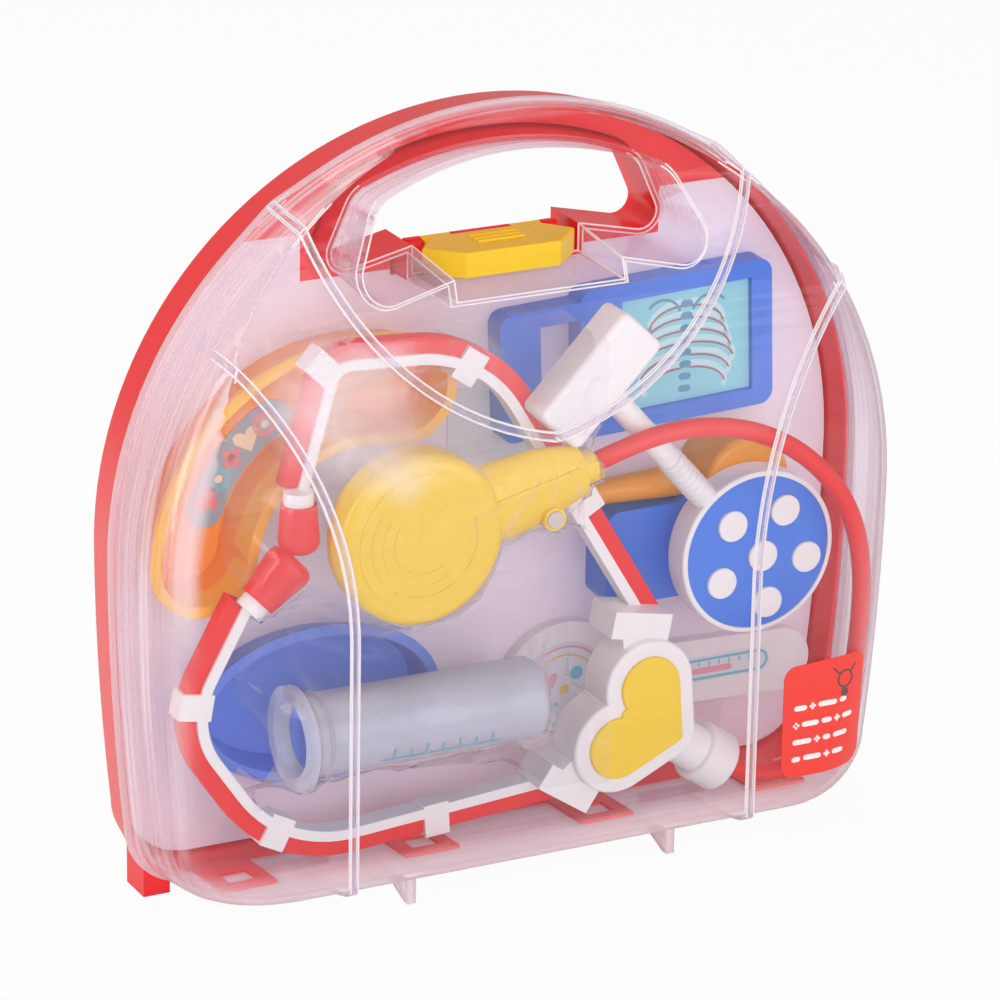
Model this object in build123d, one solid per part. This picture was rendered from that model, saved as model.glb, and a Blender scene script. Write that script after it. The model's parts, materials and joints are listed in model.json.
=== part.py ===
"""Toy doctor case: a clear front shell hinged to a red rear shell, a latch, and the toys packed inside.

Frame: X to the right seen from the front, Y towards the back, Z up. The origin lies on the standing
surface, under the middle of the case. The pieces are drawn with Y = 0 on the seam between the two
shells, and are moved back by seam_y when they are written. All sizes are in millimetres.
"""

import math
import os

from build123d import *

# Case outline
case_width = 276.0
arch_centre_z = 121.0
base_half_width = 133.0
foot_height = 5.0
corner_radius = 22.0
front_depth = 50.0
rear_depth = 20.0
front_wall = 1.6
rear_wall = 2.0

# Clear front shell
front_side_draft = 0.1
front_base_draft = 0.08
edge_rounding = 26.0
base_rounding = 5.0
face_break_z = 105.0
face_radius = 300.0
face_skim = 0.05
ridge_height = 1.2
ridge_width = 2.6
ridge_run_x = 74.0
lower_ridge_bend_z = 98.0
lower_ridge_end = (113.0, 196.0)
upper_ridge_start = (82.0, 238.0)
upper_ridge_middle = (52.0, 185.0)
upper_ridge_foot_z = 158.0
front_foot_x = 48.6
front_foot_thickness = 3.0
front_foot_length = 20.0
front_foot_setback = 8.0

# Red rear shell
rear_draft = 2.5
rear_edge_radius = 3.0
rear_foot_inset = 11.0
rear_foot_width = 9.5
rear_foot_length = 14.0
rib_thickness = 1.6
rib_top_drop = 16.0
rib_outer_inset = 37.0
rib_inner_x = 48.0
tongue_outer_inset = 33.0
tongue_inner_x = 33.0
tongue_width = 20.0
tongue_length = 26.0
tongue_thickness = 1.2
tongue_window = 10.0

# Handle opening and latch notch
grip_height = 14.0
opening_lower_half = 64.0
opening_drop = 53.0
opening_shoulder_x = 51.5
opening_lower_corner = 6.0
opening_upper_corner = 10.0
opening_flare = 5.0
notch_half_width = 30.5
notch_rise = 7.5
notch_depth = 9.5

# Latch
latch_half_width = 28.0
latch_front_half = 17.3
latch_back_half = 19.5
latch_front_y = -13.0
latch_chamfer_y = -2.0
latch_wall = 2.0
latch_top_gap = 0.5
latch_top_thickness = 2.4
latch_axis_y = 11.5
latch_axis_rise = 5.6
latch_knuckle_radius = 2.7
latch_knuckle_x = 16.5
latch_knuckle_length = 11.0
latch_pin_radius = 1.0
latch_grip_height = 0.8

# Bottom hinges
hinge_x = 72.0
hinge_length = 24.0
hinge_leaf_length = 11.4
hinge_pin_radius = 1.0
fixed_gap = 0.05
turning_gap = 0.08

# Clearances
running_gap = 0.3
seat_gap = 0.4

# Card insert behind the toys
card_front_y = 10.0
card_thickness = 1.2
card_edge_gap = 1.0

# Kidney dish
kidney_centre = (-52.0, 113.0)
kidney_bend_radius = 57.0
kidney_start_deg = 75.0
kidney_sweep_deg = 99.0
kidney_width = 38.0
kidney_depth = 20.0
kidney_flare_deg = 8.0
kidney_rim = 1.8
dish_wall = 1.6
kidney_sticker_width = 13.0
kidney_sticker_radius = 51.5
kidney_sticker_sweep = 42.0
sticker_thickness = 0.3

# Oval dish
oval_centre = (-64.5, 60.0)
oval_half_length = 44.0
oval_half_height = 27.5
oval_depth = 14.0
oval_flare_deg = 10.0

# X-ray viewer
viewer_centre = (69.5, 164.5)
viewer_width = 73.0
viewer_height = 52.0
viewer_thickness = 9.0
viewer_tilt = 2.5
viewer_corner = 5.0
picture_width = 49.0
picture_height = 39.5
picture_shift = 4.0
picture_recess = 2.0
picture_thickness = 1.0
loop_width = 30.0
loop_height = 45.0
loop_bar = 15.0
loop_rail = 6.0

# Chart card behind the viewer
chart_centre = (7.0, 136.0)
chart_width = 38.0
chart_height = 44.0
chart_thickness = 0.6

# Otoscope
otoscope_front_y = -11.6
otoscope_head_centre = (92.0, 117.0)
otoscope_head_radius = 16.0
otoscope_cone_length = 38.0
otoscope_cone_root = 6.0
otoscope_cone_tip = 4.2
otoscope_handle_centre = (58.0, 94.0)
otoscope_handle_width = 33.0
otoscope_handle_height = 34.0
otoscope_handle_thickness = 15.0

# Thermometer
thermometer_centre = (31.5, 45.5)
thermometer_head_radius = 24.5
thermometer_end_x = 128.0
thermometer_end_z = 42.0
thermometer_stem_width = 23.0
thermometer_thickness = 5.0
thermometer_dial_radius = 17.0
thermometer_strip_length = 40.0
thermometer_strip_width = 9.0

# Syringe
syringe_axis_y = -18.4
syringe_axis_z = 55.9
syringe_left_x = -82.2
syringe_length = 90.0
syringe_radius = 14.0
syringe_wall = 1.2
syringe_flange_radius = 17.8
syringe_flange_thickness = 3.0
syringe_cap_radius = 11.0
syringe_cap_length = 13.0
plunger_start = 5.0
plunger_reach = 36.0
plunger_rod_half = 5.0
plunger_head_radius = 11.0
plunger_head_thickness = 2.5
seal_length = 7.0

# Stethoscope
arm_back_y = -10.4
arm_depth = 8.0
arm_spine = 3.6
strip_width = 5.6
strip_depth = 5.0
arm_block_width = 9.0
arm_block_margin = 1.2
upper_arm_route = ((-77.5, 142.0), (-66.0, 182.5), (-13.0, 179.5), (50.0, 75.0))
upper_arm_bends = (7.0, 45.0)
upper_arm_blocks = ((-68.0, 180.0, 45.0), (-19.5, 173.5, -35.0), (23.5, 120.0, -59.0))
lower_arm_route = ((20.0, 24.0), (-84.0, 16.0), (-118.0, 66.0), (-96.5, 105.4))
lower_arm_bends = (45.0, 28.0)
lower_arm_blocks = ((-28.0, 20.0, 4.0), (-85.0, 25.5, -27.0), (-112.6, 72.0, -100.0))
ear_tip_rounding = 3.5
ear_collar_length = 4.5
ear_collar_radius = 5.0
ear_y = -19.6
upper_ear = ((-79.9, 138.3), (-79.8, 125.4), 6.0, 7.3)
lower_ear = ((-94.6, 106.9), (-82.5, 118.3), 6.2, 9.0)
heart_centre = (40.1, 46.7)
heart_turn = -29.9
heart_back_y = -14.0
heart_front_y = -30.0
lobe_radius = 16.5
lobe_side = 11.6
heart_notch_reach = 5.6
heart_tip_reach = 18.9
heart_tip_radius = 7.5
heart_border = 5.5
badge_depth = 1.6
badge_stand = 1.2
upper_block_centre = (43.9, 77.8)
upper_block_turn = -11.0
lower_block_centre = (17.6, 23.3)
lower_block_turn = -34.0
arm_block_length = 22.0
arm_block_height = 9.5
heart_neck_width = 15.0
spigot_y = -22.0
spigot_radius = 10.5
spigot_end = (78.0, 20.6)
spigot_start = 23.0
spigot_neck_radius = 8.0
spigot_mouth_length = 12.0
hose_radius = 3.3
hose_socket_radius = 4.8
hose_socket_depth = 3.0
chest_y = -28.0
chest_centre = (-42.5, 124.9)
chest_radius = 29.5
chest_thickness = 17.0
chest_front_rounding = 4.0
chest_back_rounding = 6.0
chest_ring_radius = 23.5
chest_ring_height = 0.4
diaphragm_radius = 24.0
diaphragm_thickness = 1.5
neck_turn = 12.5
neck_sections = ((16.0, 18.0, 8.0), (28.0, 14.4, 7.8), (42.0, 13.4, 7.4), (54.0, 11.2, 7.0), (62.0, 9.0, 6.6))
collar_reach = 62.0
collar_length = 5.0
collar_radius = 5.8
screw_place = (5.2, 125.2)
screw_boss_radius = 4.0
screw_radius = 3.0
screw_boss_back_y = -24.0
screw_front_y = -36.0
screw_length = 6.0

# Reflex hammer with a massage disc
hammer_head_centre = (23.4, 169.4)
hammer_head_turn = 46.5
hammer_head_length = 45.0
hammer_head_width = 20.0
hammer_head_corner = 3.0
hammer_head_edge = 2.0
hammer_head_back_y = -19.0
hammer_head_front_y = -33.0
disc_centre = (89.7, 96.2)
disc_radius = 29.0
disc_back_y = -12.0
disc_front_y = -23.5
disc_face_radius = 27.2
disc_face_depth = 1.4
disc_face_sink = 0.4
disc_edge_rounding = 1.5
stud_radius = 5.5
stud_height = 2.6
stud_ring_radius = 17.3
stud_ring_shift = (1.8, -1.6)
stud_ring_turn = 62.0
stud_count = 5
rod_radius = 4.2
rod_head_y = -25.0
rod_disc_y = -18.0

# Front label
label_inset = 14.0
label_ridge_gap = 12.0
label_low_z = 23.5
label_height = 42.0
label_slant = 1.5
label_corner_radius = 5.0
label_thickness = 0.3

# Hose route from the spigot to the chest piece, in seam coordinates
hose_route = (
    (76.3, -22.0, 21.8),
    (87.6, -22.6, 15.0),
    (100.6, -24.8, 14.2),
    (112.2, -27.8, 19.6),
    (119.6, -30.6, 30.2),
    (122.6, -32.5, 43.2),
    (123.8, -33.5, 57.0),
    (124.7, -34.0, 72.0),
    (124.5, -34.2, 87.5),
    (121.6, -34.4, 103.0),
    (115.2, -34.4, 117.0),
    (105.2, -34.0, 129.0),
    (93.0, -33.2, 138.4),
    (79.5, -32.6, 144.6),
    (65.0, -32.3, 148.0),
    (50.0, -32.0, 148.3),
    (35.4, -30.4, 144.9),
    (20.9, -28.0, 139.0),
)

arch_radius = case_width / 2
seam_y = (front_depth + ridge_height - rear_depth) / 2
hinge_z = foot_height / 2
hinge_knuckle_radius = foot_height / 2 - 0.1
side_bow = arch_radius - base_half_width
opening_top_radius = arch_radius - grip_height
opening_lower_z = arch_centre_z + arch_radius - opening_drop
notch_top_z = opening_lower_z + notch_rise
notch_floor_z = notch_top_z - notch_depth
latch_top_z = notch_top_z - latch_top_gap
latch_axis_z = notch_floor_z + latch_axis_rise
latch_back_y = latch_axis_y - latch_knuckle_radius - 1.25 * seat_gap
rear_foot_x = base_half_width - rear_foot_inset
rib_top_z = opening_lower_z - rib_top_drop
rib_outer_x = base_half_width - rib_outer_inset
rib_places_x = (-rib_outer_x, -rib_inner_x, rib_inner_x, rib_outer_x)
tongue_outer_x = base_half_width - tongue_outer_inset
tongue_places_x = (-tongue_outer_x, -tongue_inner_x, tongue_inner_x, tongue_outer_x)
label_right_x = base_half_width - label_inset
label_left_x = ridge_run_x + label_ridge_gap
label_top_z = label_low_z + label_height
label_corners = (
    (label_left_x, label_low_z),
    (label_right_x, label_low_z),
    (label_right_x, label_top_z),
    (label_left_x, label_top_z - label_slant),
)
far = 400.0

os.makedirs("parts", exist_ok=True)


def plate(face, back_y, front_y, taper=0.0):
    """Extrude a flat XZ drawing from back_y forwards to front_y."""
    return extrude(Plane.XZ.offset(-back_y) * face, amount=back_y - front_y, taper=taper)


def side_plate(face, centre_x, width):
    """Extrude a flat YZ drawing along X, centred on centre_x."""
    return extrude(Plane.YZ.offset(centre_x) * face, amount=width / 2, both=True)


def rod_x(radius, start_x, length, y, z):
    """A round bar along X."""
    return extrude(Plane.YZ.offset(start_x) * Pos(y, z) * Circle(radius), amount=length)


def bar_between(start, end, radius, end_radius=None):
    """A round bar or cone between two points."""
    axis = Vector(*end) - Vector(*start)
    plane = Plane(origin=start, z_dir=axis)
    if end_radius is None:
        return extrude(plane * Circle(radius), amount=axis.length)
    tip = Plane(origin=end, x_dir=plane.x_dir, z_dir=axis)
    return loft([plane * Circle(radius), tip * Circle(end_radius)])


def along(centre, turn_deg, reach, side=0.0):
    """A point that lies reach along a turned axis from centre, and side across it."""
    turn = math.radians(turn_deg)
    x = centre[0] + reach * math.cos(turn) - side * math.sin(turn)
    z = centre[1] + reach * math.sin(turn) + side * math.cos(turn)
    return (x, z)


def case_outline(side_inset, base_inset):
    """The D-shaped outline of the case, drawn in XZ and drawn in by the two insets."""
    top = arch_radius - side_inset
    base_half = base_half_width - side_inset
    base_z = foot_height + base_inset
    drop = arch_centre_z - base_z - corner_radius
    side_radius = (drop**2 + side_bow**2) / (2 * side_bow)
    half_turn = math.asin(drop / side_radius) / 2
    side_mid_x = top - side_radius * (1 - math.cos(half_turn))
    side_mid_z = arch_centre_z - side_radius * math.sin(half_turn)
    corner_x = base_half - corner_radius
    corner_z = base_z + corner_radius
    corner_reach = corner_radius * math.sqrt(0.5)
    edges = ThreePointArc((top, arch_centre_z), (0, arch_centre_z + top), (-top, arch_centre_z))
    edges += Line((-corner_x, base_z), (corner_x, base_z))
    for side in (-1, 1):
        edges += ThreePointArc(
            (side * top, arch_centre_z), (side * side_mid_x, side_mid_z), (side * base_half, corner_z)
        )
        edges += ThreePointArc(
            (side * base_half, corner_z),
            (side * (corner_x + corner_reach), corner_z - corner_reach),
            (side * corner_x, base_z),
        )
    return make_face(edges)


def face_profile(grow):
    """Everything behind the front face, which stands upright below and leans back above."""
    depth = front_depth + grow
    lean = face_radius + grow
    crown_z = arch_centre_z + arch_radius + front_depth
    rise = crown_z - face_break_z

    def lean_y(height):
        return lean - depth - math.sqrt(lean**2 - height**2)

    edges = Polyline((-depth, face_break_z), (-depth, -foot_height), (rear_depth, -foot_height))
    edges += Polyline((rear_depth, -foot_height), (rear_depth, crown_z), (lean_y(rise), crown_z))
    edges += ThreePointArc(
        (lean_y(rise), crown_z), (lean_y(rise / 2), face_break_z + rise / 2), (-depth, face_break_z)
    )
    return side_plate(make_face(edges), 0, 2 * case_width)


def front_dome(grow):
    """The front shell's outer form, grown outwards by grow, as a solid block."""
    rounding = edge_rounding + grow
    straight = front_depth + grow + face_skim - rounding
    sections = [Plane.XZ * case_outline(-grow, -grow)]
    for step in range(5):
        turn = math.radians(22.5 * step)
        reach = straight + rounding * math.sin(turn)
        side_inset = front_side_draft * reach + edge_rounding * (1 - math.cos(turn)) - grow
        base_inset = front_base_draft * reach + base_rounding * (1 - math.cos(turn)) - grow
        sections.append(Plane.XZ.offset(reach) * case_outline(side_inset, base_inset))
    wall = loft(sections[:2], ruled=True)
    edge = loft(sections[1:])
    return (wall + edge) & face_profile(grow)


def rear_block(grow):
    """The rear shell's outer form, grown outwards by grow, as a solid block."""
    depth = rear_depth + grow
    seam = Plane.XZ * case_outline(-grow, -grow)
    back = Plane.XZ.offset(-depth) * case_outline(rear_draft - grow, rear_draft - grow)
    return loft([seam, back], ruled=True)


def opening_face(grow):
    """The handle opening in XZ, without the notch for the latch."""
    shoulder_z = arch_centre_z + math.sqrt(opening_top_radius**2 - opening_shoulder_x**2)
    edges = Polyline(
        (-opening_shoulder_x, shoulder_z),
        (-opening_lower_half, opening_lower_z),
        (-notch_half_width, notch_top_z),
        (notch_half_width, notch_top_z),
        (opening_lower_half, opening_lower_z),
        (opening_shoulder_x, shoulder_z),
    )
    edges += ThreePointArc(
        (opening_shoulder_x, shoulder_z),
        (0, arch_centre_z + opening_top_radius),
        (-opening_shoulder_x, shoulder_z),
    )
    face = make_face(edges)
    upper = face.vertices().sort_by(Axis.Y)[-2:]
    face = fillet(upper, opening_upper_corner)
    lower = face.vertices().sort_by(Axis.Y)[:2]
    face = fillet(lower, opening_lower_corner)
    return offset(face, amount=grow) if grow else face


def notch_face(grow):
    """The notch under the latch, in XZ."""
    low = notch_floor_z - grow
    height = notch_top_z + opening_lower_corner - low
    return Pos(0, low + height / 2) * Rectangle(2 * (notch_half_width + grow), height)


def opening_cut(grow, back_y, front_y, flare):
    """The solid that both the handle opening and its notch take out of a shell."""
    return plate(opening_face(grow), back_y, front_y, -flare) + plate(notch_face(grow), back_y, front_y)


def ridge_strips():
    """The four raised ridges of the clear shell as upright walls, seen from the front."""
    strips = []
    for side in (-1, 1):
        low = (side * ridge_run_x, foot_height)
        bend = (side * ridge_run_x, lower_ridge_bend_z)
        end = (side * lower_ridge_end[0], lower_ridge_end[1])
        curve = Line(low, bend) + TangentArc(bend, end, tangent=(0, 1))
        strips.append(trace(curve, ridge_width))
        start = (side * upper_ridge_start[0], upper_ridge_start[1])
        middle = (side * upper_ridge_middle[0], upper_ridge_middle[1])
        upper = ThreePointArc(start, middle, (0, upper_ridge_foot_z))
        strips.append(trace(upper, ridge_width))
    return [plate(strip, 0, -front_depth - 2 * ridge_height) for strip in strips]


def front_shell():
    inner = front_dome(-front_wall)
    body = front_dome(0) - opening_cut(0, 0, -far, opening_flare)
    raised = front_dome(ridge_height) - inner
    for strip in ridge_strips():
        body += (strip & raised) - opening_cut(0, 0, -far, opening_flare)
    body += front_feet()
    body -= inner - opening_cut(front_wall, 0, -far, opening_flare)
    return body + hinge_leaves(True, turning_gap)


def front_feet():
    """Two thin gusset feet under the clear shell."""
    front_y = -front_depth + front_foot_setback
    back_y = front_y + front_foot_length
    top_z = foot_height + front_base_draft * front_depth + front_wall / 2
    tip_y = front_y + front_foot_thickness
    profile = make_face(
        Polyline(
            (front_y, 0),
            (tip_y, 0),
            (back_y, foot_height + 1),
            (back_y, top_z),
            (front_y, top_z),
            (front_y, 0),
        )
    )
    feet = [side_plate(profile, side * front_foot_x, front_foot_thickness) for side in (-1, 1)]
    return feet[0] + feet[1]


def hinge_leaves(middle_leaf, bore_gap):
    """Knuckles at both hinges: the middle leaf belongs to the lid, the outer leaves to the back."""
    outer = (hinge_length - hinge_leaf_length) / 2 - running_gap
    outer_x = (hinge_length - outer) / 2
    places = [(0, hinge_leaf_length)] if middle_leaf else [(-outer_x, outer), (outer_x, outer)]
    web_y = -hinge_knuckle_radius if middle_leaf else hinge_knuckle_radius
    web_top = foot_height + front_wall / 2
    leaves = Part()
    for hinge_side in (-hinge_x, hinge_x):
        for shift, length in places:
            leaf_x = hinge_side + shift
            web = Box(length, hinge_knuckle_radius, web_top - hinge_z)
            leaves += rod_x(hinge_knuckle_radius, leaf_x - length / 2, length, 0, hinge_z)
            leaves += Pos(leaf_x, web_y / 2, (hinge_z + web_top) / 2) * web
        bore = hinge_pin_radius + bore_gap
        leaves -= rod_x(bore, hinge_side - hinge_length, 2 * hinge_length, 0, hinge_z)
    return leaves


def hinge_pins():
    half = hinge_length / 2
    pins = [rod_x(hinge_pin_radius, side * hinge_x - half, hinge_length, 0, hinge_z) for side in (-1, 1)]
    return Compound(children=pins)


def rear_shell():
    outer = rear_block(0)
    back_edges = outer.faces().sort_by(Axis.Y)[-1].edges()
    outer = fillet(back_edges, rear_edge_radius) - opening_cut(0, far, -far, 0)
    for side in (-1, 1):
        foot = Box(rear_foot_width, rear_foot_length, rear_foot_length)
        outer += Pos(side * rear_foot_x, rear_foot_length / 2, rear_foot_length / 2) * foot
    body = outer - (rear_block(-rear_wall) - opening_cut(rear_wall, far, -far, 0))
    rib_depth = rear_depth - rear_wall / 2 - card_front_y - card_thickness
    rib = Box(rib_thickness, rib_depth, rib_top_z - foot_height - rear_draft)
    rib_z = (rib_top_z + foot_height + rear_draft) / 2
    for rib_x in rib_places_x:
        body += Pos(rib_x, card_front_y + card_thickness + rib_depth / 2, rib_z) * rib
    for tongue_x in tongue_places_x:
        body += tongue(tongue_x)
    for ear_x, width in latch_ear_places():
        body += latch_ear(ear_x, width)
    bore = latch_pin_radius + fixed_gap
    body -= rod_x(bore, -latch_half_width, 2 * latch_half_width, latch_axis_y, latch_axis_z)
    return body + hinge_leaves(False, fixed_gap)


def tongue(centre_x):
    """A windowed tongue from the rear floor that guides the clear shell's floor."""
    low = foot_height + front_wall + running_gap
    rise = front_base_draft * tongue_length
    root_y = tongue_length / 4
    root_z = low + running_gap
    profile = Polyline(
        (root_y, root_z),
        (0, low),
        (-tongue_length, low + rise),
        (-tongue_length, low + rise + tongue_thickness),
        (0, low + tongue_thickness),
        (root_y, root_z + 1.5 * tongue_thickness),
        (root_y, root_z),
    )
    body = side_plate(make_face(profile), centre_x, tongue_width)
    window = Box(tongue_window, tongue_window, case_width / 4)
    return body - Pos(centre_x, -tongue_length + tongue_window, 0) * window


def latch_ear_places():
    """Centre and width of the three ears that carry the latch pin."""
    knuckle_start = latch_knuckle_x - latch_knuckle_length / 2 - seat_gap
    knuckle_end = latch_knuckle_x + latch_knuckle_length / 2 + seat_gap
    outer_end = latch_half_width - seat_gap
    outer = outer_end - knuckle_end
    outer_x = (outer_end + knuckle_end) / 2
    return [(0, 2 * knuckle_start), (-outer_x, outer), (outer_x, outer)]


def latch_ear(centre_x, width):
    low = notch_floor_z - rear_wall / 2
    radius = latch_knuckle_radius + running_gap / 3
    eye = Pos(latch_axis_y, latch_axis_z) * Circle(radius)
    post = Pos(latch_axis_y, (low + latch_axis_z) / 2) * Rectangle(2 * radius, latch_axis_z - low)
    return side_plate(eye + post, centre_x, width)


def latch_plan(inset):
    """The latch seen from above, as a face in XY, drawn in by inset."""
    half = latch_half_width - inset
    front_half = latch_front_half - inset / 2
    back_half = latch_back_half - inset / 2
    front_y = latch_front_y + inset
    return make_face(
        Polyline(
            (-back_half, latch_back_y),
            (-half, latch_chamfer_y),
            (-front_half, front_y),
            (front_half, front_y),
            (half, latch_chamfer_y),
            (back_half, latch_back_y),
            (-back_half, latch_back_y),
        )
    )


def latch():
    low = notch_floor_z + seat_gap
    body = extrude(Pos(0, 0, low) * latch_plan(0), amount=latch_top_z - low)
    body = fillet(body.faces().sort_by(Axis.Z)[-1].edges(), latch_grip_height)
    open_back = Rectangle(2 * latch_back_half - latch_wall, 2 * latch_wall)
    inside = latch_plan(latch_wall) + Pos(0, latch_back_y) * open_back
    hollow = extrude(Pos(0, 0, low) * inside, amount=latch_top_z - latch_top_thickness - low)
    body -= hollow
    for grip in range(3):
        ridge = Box(latch_front_half, latch_grip_height, 2 * latch_grip_height)
        body += Pos(0, latch_chamfer_y + 4 * grip * latch_grip_height - latch_wall, latch_top_z) * ridge
    web_depth = latch_axis_y - latch_back_y + latch_wall / 4
    web_height = latch_top_z - latch_top_thickness / 2 - latch_axis_z + latch_knuckle_radius / 2
    web = Box(latch_knuckle_length, web_depth, web_height)
    web_z = latch_top_z - latch_top_thickness / 2 - web_height / 2
    for side in (-1, 1):
        start = side * latch_knuckle_x - latch_knuckle_length / 2
        body += rod_x(latch_knuckle_radius, start, latch_knuckle_length, latch_axis_y, latch_axis_z)
        body += Pos(side * latch_knuckle_x, latch_axis_y - web_depth / 2, web_z) * web
    bore = latch_pin_radius + turning_gap
    return body - rod_x(bore, -far, 2 * far, latch_axis_y, latch_axis_z)


def latch_pin():
    half = latch_half_width - seat_gap
    return rod_x(latch_pin_radius, -half, 2 * half, latch_axis_y, latch_axis_z)


def card_insert():
    """The printed backing card, cut clear of the handle opening."""
    back_y = card_front_y + card_thickness
    inset = rear_wall + rear_draft * back_y / rear_depth + card_edge_gap
    card = plate(case_outline(inset, inset), back_y, card_front_y)
    return card - opening_cut(rear_wall + card_edge_gap, far, -far, 0)


def dish(face_at, depth, flare_deg, rim):
    """An open dish on the card; face_at(inset) gives its outline drawn in from the rim."""
    front_y = card_front_y - depth
    spread = depth * math.tan(math.radians(flare_deg))
    body = plate(face_at(rim + spread), card_front_y, front_y, -flare_deg)
    body += plate(face_at(0), front_y + dish_wall, front_y)
    hollow = plate(face_at(rim + spread + dish_wall), card_front_y - dish_wall, front_y - depth, -flare_deg)
    return body - hollow


def kidney_face(inset):
    bend = CenterArc(kidney_centre, kidney_bend_radius, kidney_start_deg, kidney_sweep_deg)
    return SlotArc(bend, kidney_width - 2 * inset)


def oval_face(inset):
    return Pos(*oval_centre) * Ellipse(oval_half_length - inset, oval_half_height - inset)


def kidney_dish():
    return dish(kidney_face, kidney_depth, kidney_flare_deg, kidney_rim)


def oval_dish():
    return dish(oval_face, oval_depth, oval_flare_deg, kidney_rim)


def kidney_sticker():
    floor_y = card_front_y - dish_wall
    start = kidney_start_deg + (kidney_sweep_deg - kidney_sticker_sweep) / 2
    bend = CenterArc(kidney_centre, kidney_sticker_radius, start, kidney_sticker_sweep)
    return plate(SlotArc(bend, kidney_sticker_width), floor_y, floor_y - sticker_thickness)


def viewer_place(shift=0.0):
    """The viewer's own turned place, moved sideways by shift."""
    return Pos(*viewer_centre) * Rot(0, 0, viewer_tilt) * Pos(shift, 0)


def viewer_frame():
    back_y = card_front_y - chart_thickness
    front_y = back_y - viewer_thickness
    frame = viewer_place() * RectangleRounded(viewer_width, viewer_height, viewer_corner)
    loop_x = -(viewer_width + loop_width) / 2 + viewer_corner
    loop = viewer_place(loop_x) * RectangleRounded(
        loop_width + 2 * viewer_corner, loop_height, viewer_corner
    )
    slot_width = loop_width - loop_bar
    slot_x = -(viewer_width + slot_width) / 2
    slot = viewer_place(slot_x) * Rectangle(slot_width, loop_height - 2 * loop_rail)
    window = viewer_place(picture_shift) * Rectangle(picture_width + seat_gap, picture_height + seat_gap)
    body = plate(frame + loop - slot, back_y, front_y)
    depth = picture_recess + picture_thickness
    return body - plate(window, front_y + depth, front_y)


def viewer_picture():
    front_y = card_front_y - chart_thickness - viewer_thickness + picture_recess
    face = viewer_place(picture_shift) * Rectangle(picture_width, picture_height)
    return plate(face, front_y + picture_thickness, front_y)


def chart_card():
    face = Pos(*chart_centre) * Rectangle(chart_width, chart_height)
    return plate(face, card_front_y, card_front_y - chart_thickness)


def otoscope_head():
    """The round head that faces forwards."""
    face = Pos(*otoscope_head_centre) * Circle(otoscope_head_radius)
    head = plate(face, card_front_y, otoscope_front_y)
    return fillet(head.faces().sort_by(Axis.Y)[0].edges(), viewer_corner / 2)


def otoscope_handle():
    face = Pos(*otoscope_handle_centre) * RectangleRounded(
        otoscope_handle_width, otoscope_handle_height, viewer_corner
    )
    front_y = card_front_y - otoscope_handle_thickness
    neck = trace(Line(otoscope_handle_centre, otoscope_head_centre), otoscope_handle_width / 2)
    body = plate(face, card_front_y, front_y) + plate(neck, card_front_y, front_y)
    head = plate(Pos(*otoscope_head_centre) * Circle(otoscope_head_radius), far, -far)
    return body - head


def otoscope_cone():
    """The ear funnel that points to the left from the head."""
    y = card_front_y - otoscope_handle_thickness + otoscope_cone_root
    root_x = otoscope_head_centre[0] - otoscope_head_radius
    z = otoscope_head_centre[1]
    start = (root_x + otoscope_cone_root, y, z)
    end = (root_x - otoscope_cone_length, y, z)
    cone = bar_between(start, end, otoscope_cone_root, otoscope_cone_tip)
    head = plate(Pos(*otoscope_head_centre) * Circle(otoscope_head_radius), far, -far)
    return cone - head - otoscope_handle()


def thermometer_body():
    end_x = thermometer_end_x - thermometer_stem_width / 2
    end = (end_x, thermometer_end_z)
    face = Pos(*thermometer_centre) * Circle(thermometer_head_radius)
    face += trace(Line(thermometer_centre, end), thermometer_stem_width)
    face += Pos(*end) * Circle(thermometer_stem_width / 2)
    return plate(face, card_front_y, card_front_y - thermometer_thickness)


def thermometer_dial():
    front_y = card_front_y - thermometer_thickness
    face = Pos(*thermometer_centre) * Circle(thermometer_dial_radius)
    return plate(face, front_y, front_y - sticker_thickness)


def thermometer_strip():
    front_y = card_front_y - thermometer_thickness
    middle_x = (thermometer_centre[0] + thermometer_head_radius + thermometer_end_x) / 2
    middle_z = (thermometer_centre[1] + thermometer_end_z) / 2
    face = Pos(middle_x, middle_z) * SlotOverall(thermometer_strip_length, thermometer_strip_width)
    return plate(face, front_y, front_y - sticker_thickness)


def syringe_barrel():
    """The clear barrel, open and flanged on the left and closed on the right."""
    y = syringe_axis_y
    tube = rod_x(syringe_radius, syringe_left_x, syringe_length, y, syringe_axis_z)
    tube = fillet(tube.faces().sort_by(Axis.X)[-1].edges(), syringe_flange_thickness)
    flange = rod_x(syringe_flange_radius, syringe_left_x, syringe_flange_thickness, y, syringe_axis_z)
    bore = syringe_radius - syringe_wall
    hollow = rod_x(bore, syringe_left_x - far, far + syringe_length - syringe_wall, y, syringe_axis_z)
    return tube + flange - hollow


def syringe_cap():
    """The white dome seated inside the closed end of the barrel."""
    end_x = syringe_left_x + syringe_length - syringe_wall
    start_x = end_x - syringe_cap_length
    cap = rod_x(syringe_cap_radius, start_x, syringe_cap_length, syringe_axis_y, syringe_axis_z)
    return fillet(cap.faces().sort_by(Axis.X)[0].edges(), syringe_cap_radius * 0.8)


def plunger_rod():
    """A cross-shaped rod with a thumb disc."""
    start_x = syringe_left_x + plunger_start
    y, z = syringe_axis_y, syringe_axis_z
    head = rod_x(plunger_head_radius, start_x, plunger_head_thickness, y, z)
    length = plunger_reach - plunger_head_thickness
    middle_x = start_x + plunger_head_thickness + length / 2
    web = Box(length, 2 * plunger_rod_half, plunger_head_thickness)
    upright = Box(length, plunger_head_thickness, 2 * plunger_rod_half)
    return head + Pos(middle_x, y, z) * (web + upright)


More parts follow.
